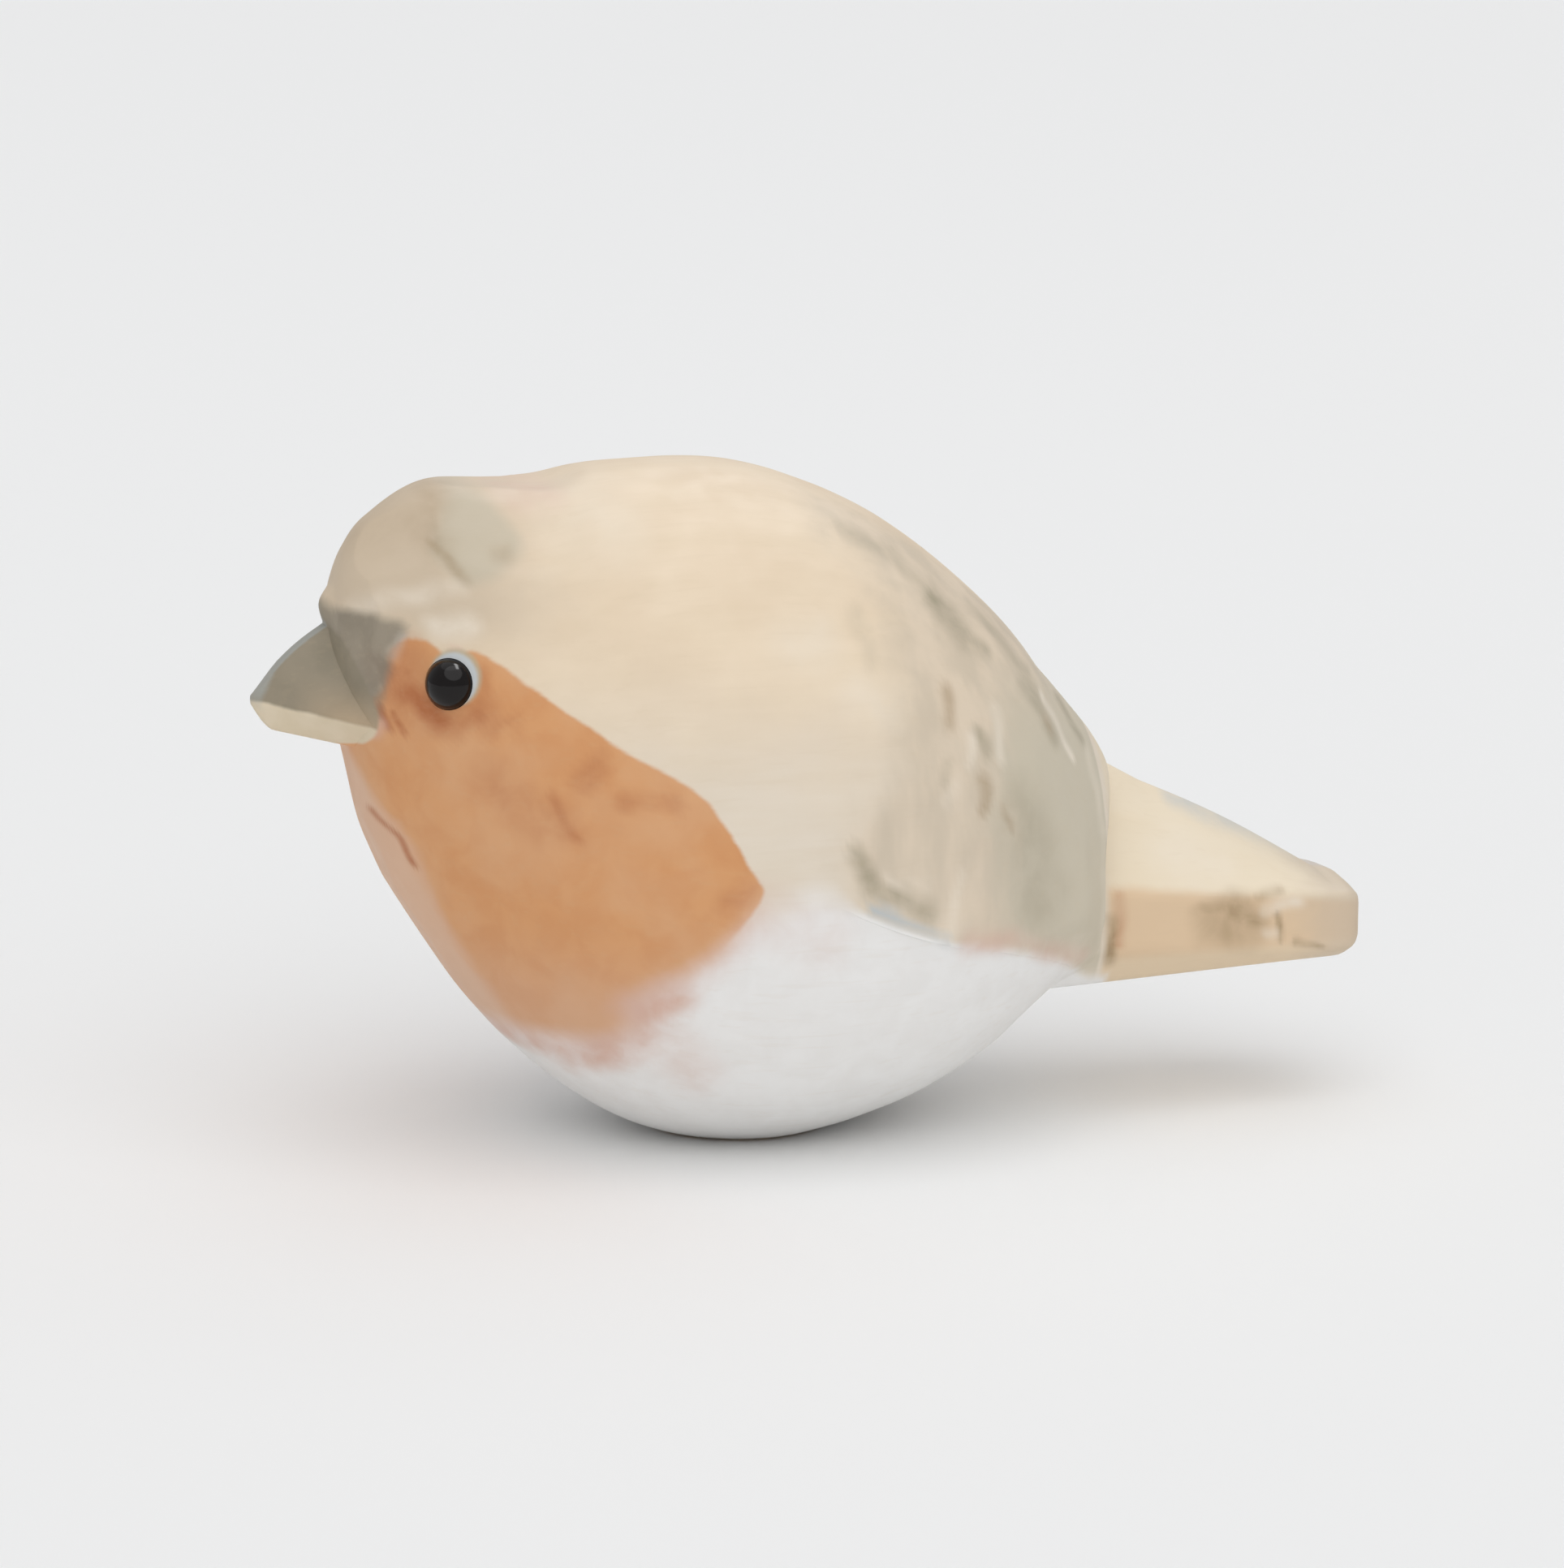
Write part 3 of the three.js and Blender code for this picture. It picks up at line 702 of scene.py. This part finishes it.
# Seen from the side, in millimetres from the foot: along the bird, and up.
BIB = [
    (-24.2, 29.0), (-23.4, 31.6), (-22.5, 32.8), (-21.2, 32.9), (-20.2, 31.9), (-18.7, 32.4), (-16.5, 31.0),
    (-13.7, 28.9), (-10.9, 27.0), (-8.4, 25.6), (-6.4, 24.1), (-4.9, 22.0), (-3.9, 20.0), (-3.1, 18.5),
    (-3.7, 17.2), (-5.0, 15.6), (-6.8, 13.9), (-8.8, 12.6), (-9.9, 11.4), (-10.1, 9.7), (-11.2, 8.6),
    (-13.5, 8.3), (-18.0, 8.2), (-30.0, 8.0), (-34.0, 18.0), (-30.0, 27.0),
]
# The nape's grey-green is partly painted shade in the hollow of its cut.
NAPE = [
    (-20.4, 38.1), (-18.9, 40.9), (-16.9, 40.7), (-15.8, 39.5), (-15.2, 38.2), (-16.9, 36.8), (-18.9, 36.1),
    (-19.8, 37.0),
]
WING = [
    (3.4, 39.5), (4.8, 37.6), (6.3, 35.0), (6.0, 31.0), (5.2, 26.0), (3.2, 22.5), (1.7, 20.6), (2.2, 18.6),
    (3.1, 17.3), (5.5, 16.2), (8.7, 14.6), (11.0, 13.4), (16.3, 12.3), (20.0, 10.6), (22.4, 9.0),
    (26.0, 14.0), (26.0, 26.0), (19.0, 36.0), (9.0, 42.0),
]
BEAK = [
    (-27.4, 35.0), (-26.2, 33.2), (-25.2, 31.8), (-24.4, 29.8), (-23.8, 27.8), (-24.3, 26.1), (-26.0, 25.7),
    (-30.0, 25.6), (-34.0, 26.0), (-34.0, 35.0),
]
LORE = [
    (-27.0, 34.6), (-25.6, 34.0), (-24.6, 34.0), (-22.8, 34.0), (-22.4, 33.4), (-22.9, 32.2), (-23.3, 30.7),
    (-23.8, 28.9), (-24.2, 27.8), (-27.0, 29.0),
]

bib = inside(seen_from_side, smooth_outline(BIB))
keep("bib", bib)
keep("nape", inside(seen_from_side, smooth_outline(NAPE)))
keep("lore", inside(seen_from_side, smooth_outline(LORE)))
keep("beak", inside(seen_from_side, smooth_outline(BEAK)))
print("orange points", int((bib > 0).sum()))

# %% [markdown]
# Some areas follow the form and not a drawn outline: the beak's two colours meet at the mouth, the white
# belly ends at the wing's edge, and a disc of putty and a disc of primer show beside each eye. They are
# worked out from the shape again, so they stay right if the shape changes. The white's rim is soft on the
# breast and crisp under the wing, so its distance is stored as a share of how soft it is there.

# %% Areas that follow the form
BELLY_FRONT = 17.2 * MM  # height of the white's upper edge in front of the wings
BELLY_ENDS = 22.3 * MM  # the white stops where the tail comes out
WING_BACK_BARE = 4 * MM  # half-width of the strip along the back that the wing's grey leaves free

x, y, z = points.T
keep("above_mouth", z - (BEAK_TIP_Z - BEAK_MOUTH_DROP * (x - BEAK_TIP_X)))

station = np.linspace(0, STATIONS[-1], 300)
edge_line = body_point(station, wing_edge(station), -1)
edge_height = np.interp(x, edge_line[:, 0], edge_line[:, 2])
in_wing = rising(x, -3 * MM, 1.5 * MM)
below_edge = BELLY_FRONT * (1 - in_wing) + edge_height * in_wing - z
edge_soft = MM * (1.6 - 1.3 * rising(x, 1 * MM, 3.4 * MM) + 0.3 * rising(x, 9 * MM, 12 * MM))
keep("belly", np.minimum(below_edge / edge_soft, (BELLY_ENDS - x) / (0.4 * MM)))

bare_strip = WING_BACK_BARE * (1 - rising(x, 12 * MM, 19 * MM))
keep("wing", np.minimum(inside(seen_from_side, smooth_outline(WING)), np.abs(y) - bare_strip))

eye_middle, eye_normal = eye_seat(-1)
towards_beak, downwards = across(eye_normal)
mirrored = np.stack([x, -np.abs(y), z], axis=-1)


def disc(back, up, radius):
    """How far each point lies inside a disc on the cheek, with its middle back and up from the eye."""
    to_point = mirrored - eye_middle + towards_beak * back + downwards * up
    flat = to_point - (to_point @ eye_normal)[:, None] * eye_normal
    return radius - np.linalg.norm(flat, axis=1)


keep("putty", disc(0.38 * MM, 0.42 * MM, 1.7 * MM))
keep("primer", disc(0.28 * MM, 0.32 * MM, 1.58 * MM))

# %% [markdown]
# Last come single brush marks: the streaks that stand for feathers, the smudge on the tail, the pale brow,
# the deep orange round the eye. Some of them are painted light: painted shade in creases and along edges,
# and painted highlights on ridges and rims. Each is a line with a width, seen from the side, fading at its
# rim, and each kind has its own colour.

# %% Brush marks
# In millimetres: from along and up, to along and up, half-width. Then the strength.
MARKS = {
    "grey_and_shade_marks": [
        (4.5, 38.4, 7.8, 36.7, 0.35, 0.35), (7.8, 36.7, 9.7, 34.6, 0.35, 0.4),
        (9.7, 34.4, 11.5, 31.9, 0.5, 0.8), (11.5, 31.9, 12.8, 30.8, 0.4, 0.6),
        (12.7, 33.5, 16.5, 28.9, 0.25, 0.4), (19.2, 26.7, 20.4, 24.2, 0.25, 0.7),
        (15.5, 28.5, 17.0, 27.1, 0.5, 0.55), (16.9, 26.2, 17.4, 25.2, 0.45, 0.6),
        (11.2, 26.8, 11.7, 25.6, 0.35, 0.6), (8.8, 25.3, 8.6, 24.4, 0.35, 0.35),
        # The next three marks run along the wing's lower front edge and are painted shade above its lip.
        (2.6, 20.4, 3.6, 18.5, 0.5, 0.7), (3.6, 18.5, 4.6, 17.7, 0.5, 0.5),
        (5.0, 17.8, 7.4, 16.7, 0.6, 0.6), (14.0, 22.0, 15.5, 16.0, 1.6, 0.35),
        (4.0, 34.0, 4.6, 31.5, 0.5, 0.2),
    ],
    "brown_and_shade_marks": [
        (9.3, 29.4, 9.2, 27.6, 0.4, 0.5), (11.3, 24.0, 11.2, 22.4, 0.35, 0.85),
        (12.5, 22.1, 13.0, 21.0, 0.2, 0.5), (17.0, 26.5, 17.1, 25.8, 0.3, 0.5),
        (28.6, 13.0, 31.2, 13.3, 0.5, 0.6), (30.6, 12.9, 32.0, 12.1, 0.8, 1.0),
        (29.0, 12.0, 31.5, 11.4, 1.0, 0.6), (28.2, 12.8, 28.6, 11.6, 0.5, 0.4),
        (33.6, 12.4, 33.7, 10.7, 0.2, 0.9), (34.9, 10.5, 36.5, 10.0, 0.2, 0.7),
        # The second mark here is painted shadow in the step at the tail's root, under the wing's end.
        (31.9, 13.6, 33.8, 13.8, 0.25, 0.5), (22.3, 12.9, 22.3, 10.0, 0.35, 0.85),
        # On the head: painted shade along the lower edge of the nape's cut, a blotch, painted shade on the
        # crown's dark edge, and a faint forehead mark.
        (-20.5, 38.4, -18.9, 36.5, 0.3, 0.6), (-16.6, 37.8, -16.2, 37.8, 0.45, 0.35),
        (-19.4, 41.0, -20.4, 38.6, 0.9, 0.35), (-24.6, 38.0, -21.2, 39.4, 1.0, 0.2),
    ],
    "rust_and_shade_marks": [
        (-22.2, 31.9, -22.5, 29.7, 0.8, 0.8), (-22.5, 29.6, -20.6, 28.3, 0.8, 1.0),
        (-20.6, 28.3, -18.8, 28.8, 0.6, 0.8), (-23.0, 30.8, -21.8, 29.1, 1.1, 0.75),
        (-18.5, 31.3, -18.2, 30.4, 0.35, 0.4), (-18.6, 29.6, -18.3, 28.2, 0.7, 0.4),
        (-18.3, 28.3, -16.6, 28.5, 0.4, 0.35), (-18.0, 24.8, -16.7, 23.4, 1.2, 0.3),
        (-16.8, 24.2, -14.6, 22.3, 1.1, 0.35), (-15.0, 24.0, -13.8, 21.9, 0.4, 0.55),
        (-12.1, 26.6, -13.4, 24.9, 0.5, 0.45), (-11.0, 24.2, -8.2, 24.0, 0.5, 0.45),
        (-3.9, 18.6, -5.2, 18.2, 0.6, 0.35), (-23.75, 28.6, -23.3, 27.5, 0.25, 0.9),
        # The second mark here is orange painted shade in the crease at the tail's root.
        (-22.95, 28.3, -22.6, 27.4, 0.2, 0.75), (22.75, 14.2, 22.9, 11.4, 0.3, 0.35),
    ],
    # A thin dark line of painted shade where the breast folds round to the front.
    "crease_shade_marks": [
        (-23.6, 21.8, -22.6, 20.5, 0.14, 0.8), (-22.6, 20.5, -21.6, 18.8, 0.14, 0.9),
    ],
    "pale_and_highlight_marks": [
        # Pale streaks, and painted highlights: on the ridge beside the groove between the wings, down the
        # wings' rear rim, on the tail's sloping top and on the lit facet above the lore.
        (17.3, 27.6, 18.9, 23.9, 0.2, 0.9), (10.6, 26.7, 10.3, 25.0, 0.3, 0.5),
        (12.9, 28.0, 12.8, 25.1, 0.3, 0.55), (8.6, 23.1, 9.5, 24.0, 0.3, 0.4),
        (4.7, 18.9, 7.1, 18.1, 0.35, 0.4), (9.3, 18.6, 8.7, 14.9, 0.25, 0.5),
        (20.8, 23.5, 21.1, 18.6, 0.3, 0.35), (21.1, 18.6, 21.2, 11.2, 0.3, 0.3),
        (32.8, 12.8, 34.8, 13.0, 0.4, 0.65), (32.7, 11.1, 33.2, 11.1, 0.35, 0.5),
        (26.6, 16.5, 29.7, 15.4, 1.2, 0.4), (-20.8, 33.7, -18.9, 33.9, 0.55, 0.7),
        (-24.4, 34.6, -19.4, 36.0, 0.5, 0.45), (-0.4, 32.9, 1.4, 32.8, 1.2, 0.35),
        (3.5, 29.6, 5.0, 29.0, 1.2, 0.3), (-11.5, 40.5, -10.4, 39.5, 2.0, 0.3),
    ],
    "pink_marks": [
        (-9.8, 11.0, -8.0, 11.8, 1.1, 1.0), (-12.2, 7.2, -9.5, 8.6, 1.1, 0.9),
        (-15.5, 7.4, -12.2, 7.2, 0.8, 0.7), (-8.0, 9.0, -6.0, 6.5, 1.2, 0.3),
        (-2.6, 17.2, 0.5, 15.5, 1.6, 0.25), (10.3, 14.3, 13.3, 14.0, 0.7, 0.55),
        (13.3, 14.0, 19.3, 11.2, 0.6, 0.5), (-15.2, 40.9, -12.9, 40.8, 0.8, 0.4),
        (-24.2, 26.8, -23.7, 27.6, 0.3, 0.7), (-19.8, 32.6, -19.4, 32.6, 0.2, 0.6),
    ],
    "blue_and_highlight_marks": [
        # A bluish painted highlight under the wing's front edge, a bluish painted reflection along the
        # tail's ridge, and a small blue-grey mark before the eye.
        (3.6, 17.0, 8.6, 14.8, 0.28, 0.8), (28.0, 19.2, 36.5, 15.4, 0.5, 0.55),
        (-22.9, 32.9, -23.1, 31.9, 0.3, 0.5),
    ],
}


# No hand draws a straight line: the marks wander to and fro by a fifth of a millimetre.
u, v = seen_from_side.T / MM
wander_along = np.sin(1.1 * u + 0.7 * v) + np.sin(2.0 * v - 0.9 * u)
wander_up = np.sin(0.8 * u - 1.4 * v) + np.sin(1.9 * u + 1.2 * v)
unsteady = seen_from_side + 0.1 * MM * np.stack([wander_along, wander_up], axis=-1)


def marks(lines):
    """The strongest of a set of lines at each point: full on the line, fading to nothing at twice its
    half-width."""
    strength = np.zeros(len(points))
    for *ends, half_width, amount in lines:
        start, stop = np.array(ends).reshape(2, 2) * MM
        gap = stop - start
        share = np.clip((unsteady - start) @ gap / (gap @ gap), 0, 1)
        away = np.linalg.norm(unsteady - start - share[:, None] * gap, axis=1)
        strength = np.maximum(strength, amount * (1 - rising(away, 0, half_width * MM * 2.1)))
    return strength


# The far side has the same marks, fainter, and the painted shade of the crease in the breast is on the left
# alone.
FAR_SHARE = 0.7
for kind, lines in MARKS.items():
    keep(kind, marks(lines) * np.where(y > 0, 0 if kind == "crease_shade_marks" else FAR_SHARE, 1))
    print(kind, len(lines))

# %% [markdown]
# ## The painted wood
#
# The wood is a pale, close-grained one such as basswood. Thinned acrylic sinks in and leaves a satin
# skin: no gloss, but a soft shine on the crown, with fine brush lines and a hint of grain. The material
# lays one colour over the other in the painter's own order, each mixed in by its area, and each edge is
# shaken by a noise so that no border is a ruled line.

# %% Paint: nodes that read the areas
paint, paint_shader = new_material("acrylic wash on basswood")
place = add_node(paint, "ShaderNodeTexCoord").outputs["Object"]


def stored(name):
    """The number kept under a name at each point."""
    return add_node(paint, "ShaderNodeAttribute", attribute_name=name).outputs["Fac"]


def noise(scale, detail=4.0, stretch=(1, 1, 1), distortion=0.0):
    """Noise of a given number of blobs to the metre, stretched by turning its space narrower."""
    spot = add_node(paint, "ShaderNodeMapping", {"Vector": place, "Scale": stretch}).outputs[0]
    settings = {"Vector": spot, "Scale": scale, "Detail": detail, "Distortion": distortion}
    return add_node(paint, "ShaderNodeTexNoise", settings).outputs["Fac"]


def reckon(operation, a, b=0.0):
    """One sum of two numbers or sockets."""
    node = add_node(paint, "ShaderNodeMath", operation=operation)
    for socket_in, value in zip(node.inputs, (a, b)):
        if isinstance(value, bpy.types.NodeSocket):
            paint.node_tree.links.new(value, socket_in)
        else:
            socket_in.default_value = value
    return node.outputs[0]


def area(distance, shake=None, by=0.0, soft=0.25 * MM, most=1.0):
    """How much an area covers: 0 outside, most inside, over a soft rim; shake is a noise that moves the
    rim to and fro by the distance given."""
    if shake is not None:
        distance = reckon("ADD", distance, reckon("MULTIPLY", reckon("SUBTRACT", shake, 0.5), 2 * by))
    limits = {"Value": distance, "From Min": -soft, "From Max": soft, "To Min": 0.0, "To Max": most}
    return add_node(paint, "ShaderNodeMapRange", limits, interpolation_type="SMOOTHSTEP").outputs[0]


def lay(under, over, amount):
    """One coat of paint over another."""
    node = add_node(paint, "ShaderNodeMix", data_type="RGBA")
    for name, value in (("Factor_Float", amount), ("A_Color", under), ("B_Color", over)):
        socket_in = next(s for s in node.inputs if s.identifier == name)
        if isinstance(value, bpy.types.NodeSocket):
            paint.node_tree.links.new(value, socket_in)
        else:
            socket_in.default_value = value
    return next(s for s in node.outputs if s.identifier == "Result_Color")


# %% [markdown]
# The noises come at the scales of the real thing: blots of a few millimetres where the wash dried
# unevenly, streaks for the feathers, and brush lines along the bird, drawn about twice as coarse as the
# real ones, which would vanish in the picture. Cream goes on first, then the brown wash of the head, the
# grey-green of the nape, which also stands for the shade in the hollow of the nape's cut, and the two
# greys of the wings.

# %% Paint: cream, head and wings
blots = noise(160, 3.0)  # about 6 mm
patches = noise(420, 4.0, distortion=0.4)  # about 2.4 mm
strokes = noise(900, 5.0, stretch=(0.16, 1, 1))  # about 1 mm wide, 7 mm long
hairs = noise(2600, 3.0, stretch=(0.07, 1, 1))  # brush lines of 0.4 mm
feathers = noise(350, 3.0, stretch=(1, 1, 0.3))  # upright streaks of 3 mm

axes = add_node(paint, "ShaderNodeSeparateXYZ", {"Vector": place})
along_bird, side_of_bird, height = (axes.outputs[axis] for axis in "XYZ")
out_from_middle = reckon("ABSOLUTE", side_of_bird)


def over_half(pattern, soft, most):
    """Where a noise is above its middle."""
    return area(reckon("SUBTRACT", pattern, 0.5), soft=soft, most=most)


def rest(amount):
    """What an area leaves free."""
    return reckon("SUBTRACT", 1.0, amount)


def both(one, other):
    """Where two areas overlap."""
    return reckon("MULTIPLY", one, other)


def below(limit, soft, most=1.0, shake=None, by=0.0):
    """The part of the bird that lies lower than a height."""
    return area(reckon("SUBTRACT", limit, height), shake, by, soft, most)


def behind(limit, soft, most=1.0, shake=None, by=0.0):
    """The part of the bird that lies further back than a place."""
    return area(reckon("SUBTRACT", along_bird, limit), shake, by, soft, most)


cream = lay(linear("#eddabf"), linear("#e3cdb0"), over_half(blots, 0.2, 0.6))
colour = lay(cream, linear("#e6ddcf"), below(27 * MM, 7 * MM, 0.75, blots, 3 * MM))
colour = lay(colour, linear("#d6c1a0"), over_half(strokes, 0.2, 0.15))

on_head = rest(behind(-15 * MM, 4.5 * MM, 1.0, patches, 1.2 * MM))
above_eye = rest(below(33.2 * MM, 1.8 * MM, 1.0, blots, 0.8 * MM))
head_wash = both(both(on_head, above_eye), 0.75)
colour = lay(colour, linear("#c8b69e"), head_wash)
# Grey-green on the nape, partly painted shade in the hollow of its cut.
colour = lay(colour, linear("#c0b7a1"), area(stored("nape"), patches, 0.3 * MM, soft=0.55 * MM, most=0.65))

wing_area = area(stored("wing"), patches, 1.8 * MM, soft=2.2 * MM, most=0.85)
wing_front = lay(linear("#e0cfb8"), linear("#d0c1ab"), over_half(feathers, 0.14, 1.0))
wing_rear = both(behind(12.8 * MM, 2 * MM, 1.0, feathers, 2.5 * MM), below(28 * MM, 4 * MM))
wing_colour = lay(wing_front, linear("#cbc2ad"), wing_rear)
colour = lay(colour, wing_colour, both(wing_area, rest(behind(21.5 * MM, 0.12 * MM))))

# %% [markdown]
# The tail is the warmest part: cream on top, a darker peach on its sides, which also stands for the shade
# on those upright faces, paler below and greyer at its end, where the far half of the roof has painted
# shade and a bluish painted reflection. The belly's white comes after it, up to the wing.

# %% Paint: tail and belly
TAIL_SIDE_TOP = 17.7 * MM  # height that the side's upper edge would have over the foot
TAIL_SIDE_FALL = 0.127  # its fall for each step back

on_tail = behind(22 * MM, 0.4 * MM)
upper_edge = reckon("SUBTRACT", TAIL_SIDE_TOP, reckon("MULTIPLY", along_bird, TAIL_SIDE_FALL))
tail_side = area(reckon("SUBTRACT", upper_edge, height), patches, 0.25 * MM, soft=0.4 * MM, most=0.9)
colour = lay(colour, linear("#eddcbd"), both(on_tail, 0.6))
# The sides' darker peach is partly painted shade on the tail's upright faces.
colour = lay(colour, linear("#e0c3a0"), both(on_tail, tail_side))
colour = lay(colour, linear("#e6d0b1"), both(on_tail, below(10.3 * MM, 0.5 * MM)))
colour = lay(colour, linear("#ccbba6"), behind(36 * MM, 2.5 * MM, 0.65, patches, 1.5 * MM))
# Painted shade and a bluish painted reflection on the far half of the tail's roof, near its end.
far_roof_shade = area(reckon("SUBTRACT", side_of_bird, 0.3 * MM), patches, 0.6 * MM, soft=0.8 * MM, most=0.7)
colour = lay(colour, linear("#d2cac3"), both(far_roof_shade, behind(31 * MM, 1.5 * MM)))

white = lay(linear("#f2f1ef"), linear("#e6e3df"), over_half(patches, 0.25, 0.4))
colour = lay(colour, white, area(stored("belly"), strokes, 0.5, soft=1.0))

# %% [markdown]
# The orange has a clean upper edge, drawn with the brush's side. Lower down the wash was wetter: it ran
# into the white and left a pink rim. Down the front it was wiped thin, so the primer shows through.

# %% Paint: orange bib
watery = below(17 * MM, 3 * MM)
bib_edge = reckon("ADD", stored("bib"), reckon("MULTIPLY", reckon("SUBTRACT", patches, 0.5), 1.2 * MM))
wet_rim = both(area(reckon("ADD", bib_edge, 0.9 * MM), soft=1.4 * MM, most=0.75), watery)
colour = lay(colour, linear("#dfc4b8"), wet_rim)
wet_bib = both(area(bib_edge, soft=1.2 * MM), watery)
dry_bib = both(area(stored("bib"), strokes, 0.25 * MM, soft=0.18 * MM), rest(watery))
orange = lay(linear("#da9f6b"), linear("#cf8e5b"), over_half(patches, 0.16, 0.4))
orange = lay(orange, linear("#dcac82"), over_half(blots, 0.14, 0.5))
orange = lay(orange, linear("#d8b297"), below(13 * MM, 4 * MM, 0.45))
front_width = reckon("MINIMUM", 6 * MM, reckon("SUBTRACT", 26.5 * MM, height))
front = area(reckon("SUBTRACT", front_width, out_from_middle), patches, 1.1 * MM, soft=1.1 * MM, most=0.75)
orange = lay(orange, linear("#dfbda3"), front)
colour = lay(colour, orange, reckon("ADD", wet_bib, dry_bib))

# %% [markdown]
# Single marks come next, the painted shade and painted highlights among them, each kind in one colour,
# thicker here and thinner there as from a half-dry brush.

# %% Paint: brush marks
MARK_COLOURS = {
    "grey_and_shade_marks": "#a1977f", "brown_and_shade_marks": "#a38a68", "rust_and_shade_marks": "#b26a3e", "crease_shade_marks": "#b26a3e",
    "pale_and_highlight_marks": "#efe4d3", "pink_marks": "#dab6a5", "blue_and_highlight_marks": "#bcc3c6",
}
uneven = {"Value": patches, "From Min": 0.35, "From Max": 0.65, "To Min": 0.55, "To Max": 1.1}
load = add_node(paint, "ShaderNodeMapRange", uneven).outputs[0]
for kind, hex_colour in MARK_COLOURS.items():
    colour = lay(colour, linear(hex_colour), both(stored(kind), load))

# %% [markdown]
# The beak and the skin behind it are a grey-brown wash, darker above the mouth than below, with a pale
# painted highlight along the ridge. Grey putty and white primer show beside the bead, and the foot is bare
# wood, sanded flat.

# %% Paint: face and foot
lore_colour = lay(linear("#948a79"), linear("#807869"), over_half(patches, 0.15, 0.7))
colour = lay(colour, lore_colour, area(stored("lore"), patches, 0.5 * MM, soft=0.45 * MM, most=0.9))

upper = lay(linear("#958a76"), linear("#857d6b"), over_half(patches, 0.2, 0.6))
near_mouth = rest(area(reckon("SUBTRACT", stored("above_mouth"), 1 * MM), soft=1.8 * MM))
upper = lay(upper, linear("#b7a184"), both(near_mouth, behind(-27 * MM, 2 * MM)))
lower = lay(linear("#dfd0b6"), linear("#d4c4a6"), over_half(patches, 0.2, 0.6))
beak_colour = lay(lower, upper, area(stored("above_mouth"), patches, 0.15 * MM, soft=0.15 * MM))
# The flat top of the beak is paler and bluish: a painted highlight where it catches the light from above.
ridge_highlight = area(reckon("SUBTRACT", 0.62 * MM, out_from_middle), hairs, 0.1 * MM, soft=0.15 * MM, most=0.6)
high_up = area(stored("above_mouth"), soft=0.8 * MM)
beak_colour = lay(beak_colour, linear("#a9adaa"), both(ridge_highlight, high_up))
colour = lay(colour, beak_colour, area(stored("beak"), patches, 0.15 * MM, soft=0.12 * MM))

colour = lay(colour, linear("#bfb296"), area(stored("putty"), patches, 0.15 * MM, soft=0.2 * MM, most=0.85))
colour = lay(colour, linear("#c9cfd2"), area(stored("primer"), patches, 0.1 * MM, soft=0.15 * MM, most=0.9))

ring_scale = add_node(paint, "ShaderNodeMapping", {"Vector": place, "Scale": (1, 0.35, 1)}).outputs[0]
grain_inputs = {"Vector": ring_scale, "Scale": 700.0, "Distortion": 2.0, "Detail": 3.0, "Detail Scale": 1.5}
grain = add_node(paint, "ShaderNodeTexWave", grain_inputs, bands_direction="Y").outputs["Fac"]
bare_wood = lay(linear("#c9a878"), linear("#a98457"), grain)
colour = lay(colour, bare_wood, below(0.12 * MM, 0.08 * MM))
colour = lay(colour, linear("#cdb592"), area(reckon("SUBTRACT", hairs, 0.62), soft=0.06, most=0.05))

paint.node_tree.links.new(colour, paint_shader.inputs["Base Color"])

# %% [markdown]
# The relief is very shallow. Brush lines stand a few hundredths of a millimetre high, and the wood's
# grain shows as faint long waves. Roughness varies a little as well: the paint is satin where it lies
# thick and duller where it sank in.

# %% Paint: relief and shine
relief = reckon("ADD", reckon("MULTIPLY", hairs, 0.4), reckon("MULTIPLY", strokes, 0.6))
relief = reckon("ADD", relief, reckon("MULTIPLY", noise(3500, 2.0), 0.15))
bump = add_node(paint, "ShaderNodeBump", {"Height": relief, "Strength": 0.2, "Distance": 0.12 * MM})
paint.node_tree.links.new(bump.outputs["Normal"], paint_shader.inputs["Normal"])
shine = {"Value": patches, "From Min": 0.3, "From Max": 0.7, "To Min": 0.5, "To Max": 0.68}
roughness = add_node(paint, "ShaderNodeMapRange", shine).outputs[0]
paint.node_tree.links.new(roughness, paint_shader.inputs["Roughness"])
paint_shader.inputs["IOR"].default_value = 1.47  # acrylic
bird.data.materials.clear()
bird.data.materials.append(paint)

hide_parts("carved_bird")
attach(bird, "root")

# %% [markdown]
# ## The eyes
#
# Each eye is a black bead of about 3 mm, glued into its socket. It mirrors less of the white tent than
# clean glass would, so its shine is half, and what shows best is the lamps overhead. The ball is a surface
# of two angles: one round it and one from pole to pole, with the pole along its bore.

# %% Beads
BEAD_ROUND = 96
BEAD_RINGS = 48

# Black glass: deep black with a clear, sharp shine.
glass, glass_shader = new_material("black glass bead")
glass_shader.inputs["Base Color"].default_value = linear("#120e0d")
glass_shader.inputs["Roughness"].default_value = 0.1
glass_shader.inputs["IOR"].default_value = 1.52
glass_shader.inputs["Specular IOR Level"].default_value = 0.25


def bead(name, side):
    """A ball: rings of equal steps from pole to pole, turned so that the pole looks out of the head."""
    middle, normal = eye_seat(side)
    first, second = across(normal)
    polar = np.linspace(0, np.pi, BEAD_RINGS + 2)[1:-1][:, None, None]
    turn = np.linspace(0, 2 * np.pi, BEAD_ROUND, endpoint=False)[None, :, None]
    flat = first * np.cos(turn) + second * np.sin(turn)
    rings = middle + EYE_BEAD / 2 * (flat * np.sin(polar) - normal * np.cos(polar))
    made = skin(name, rings)
    made.data.shade_smooth()
    made.data.materials.append(glass)
    return made


for name, side in (("left", -1), ("right", 1)):
    eye = bead(f"{name}_bead", side)
    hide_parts(f"{name}_eye")
    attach(eye, "root")
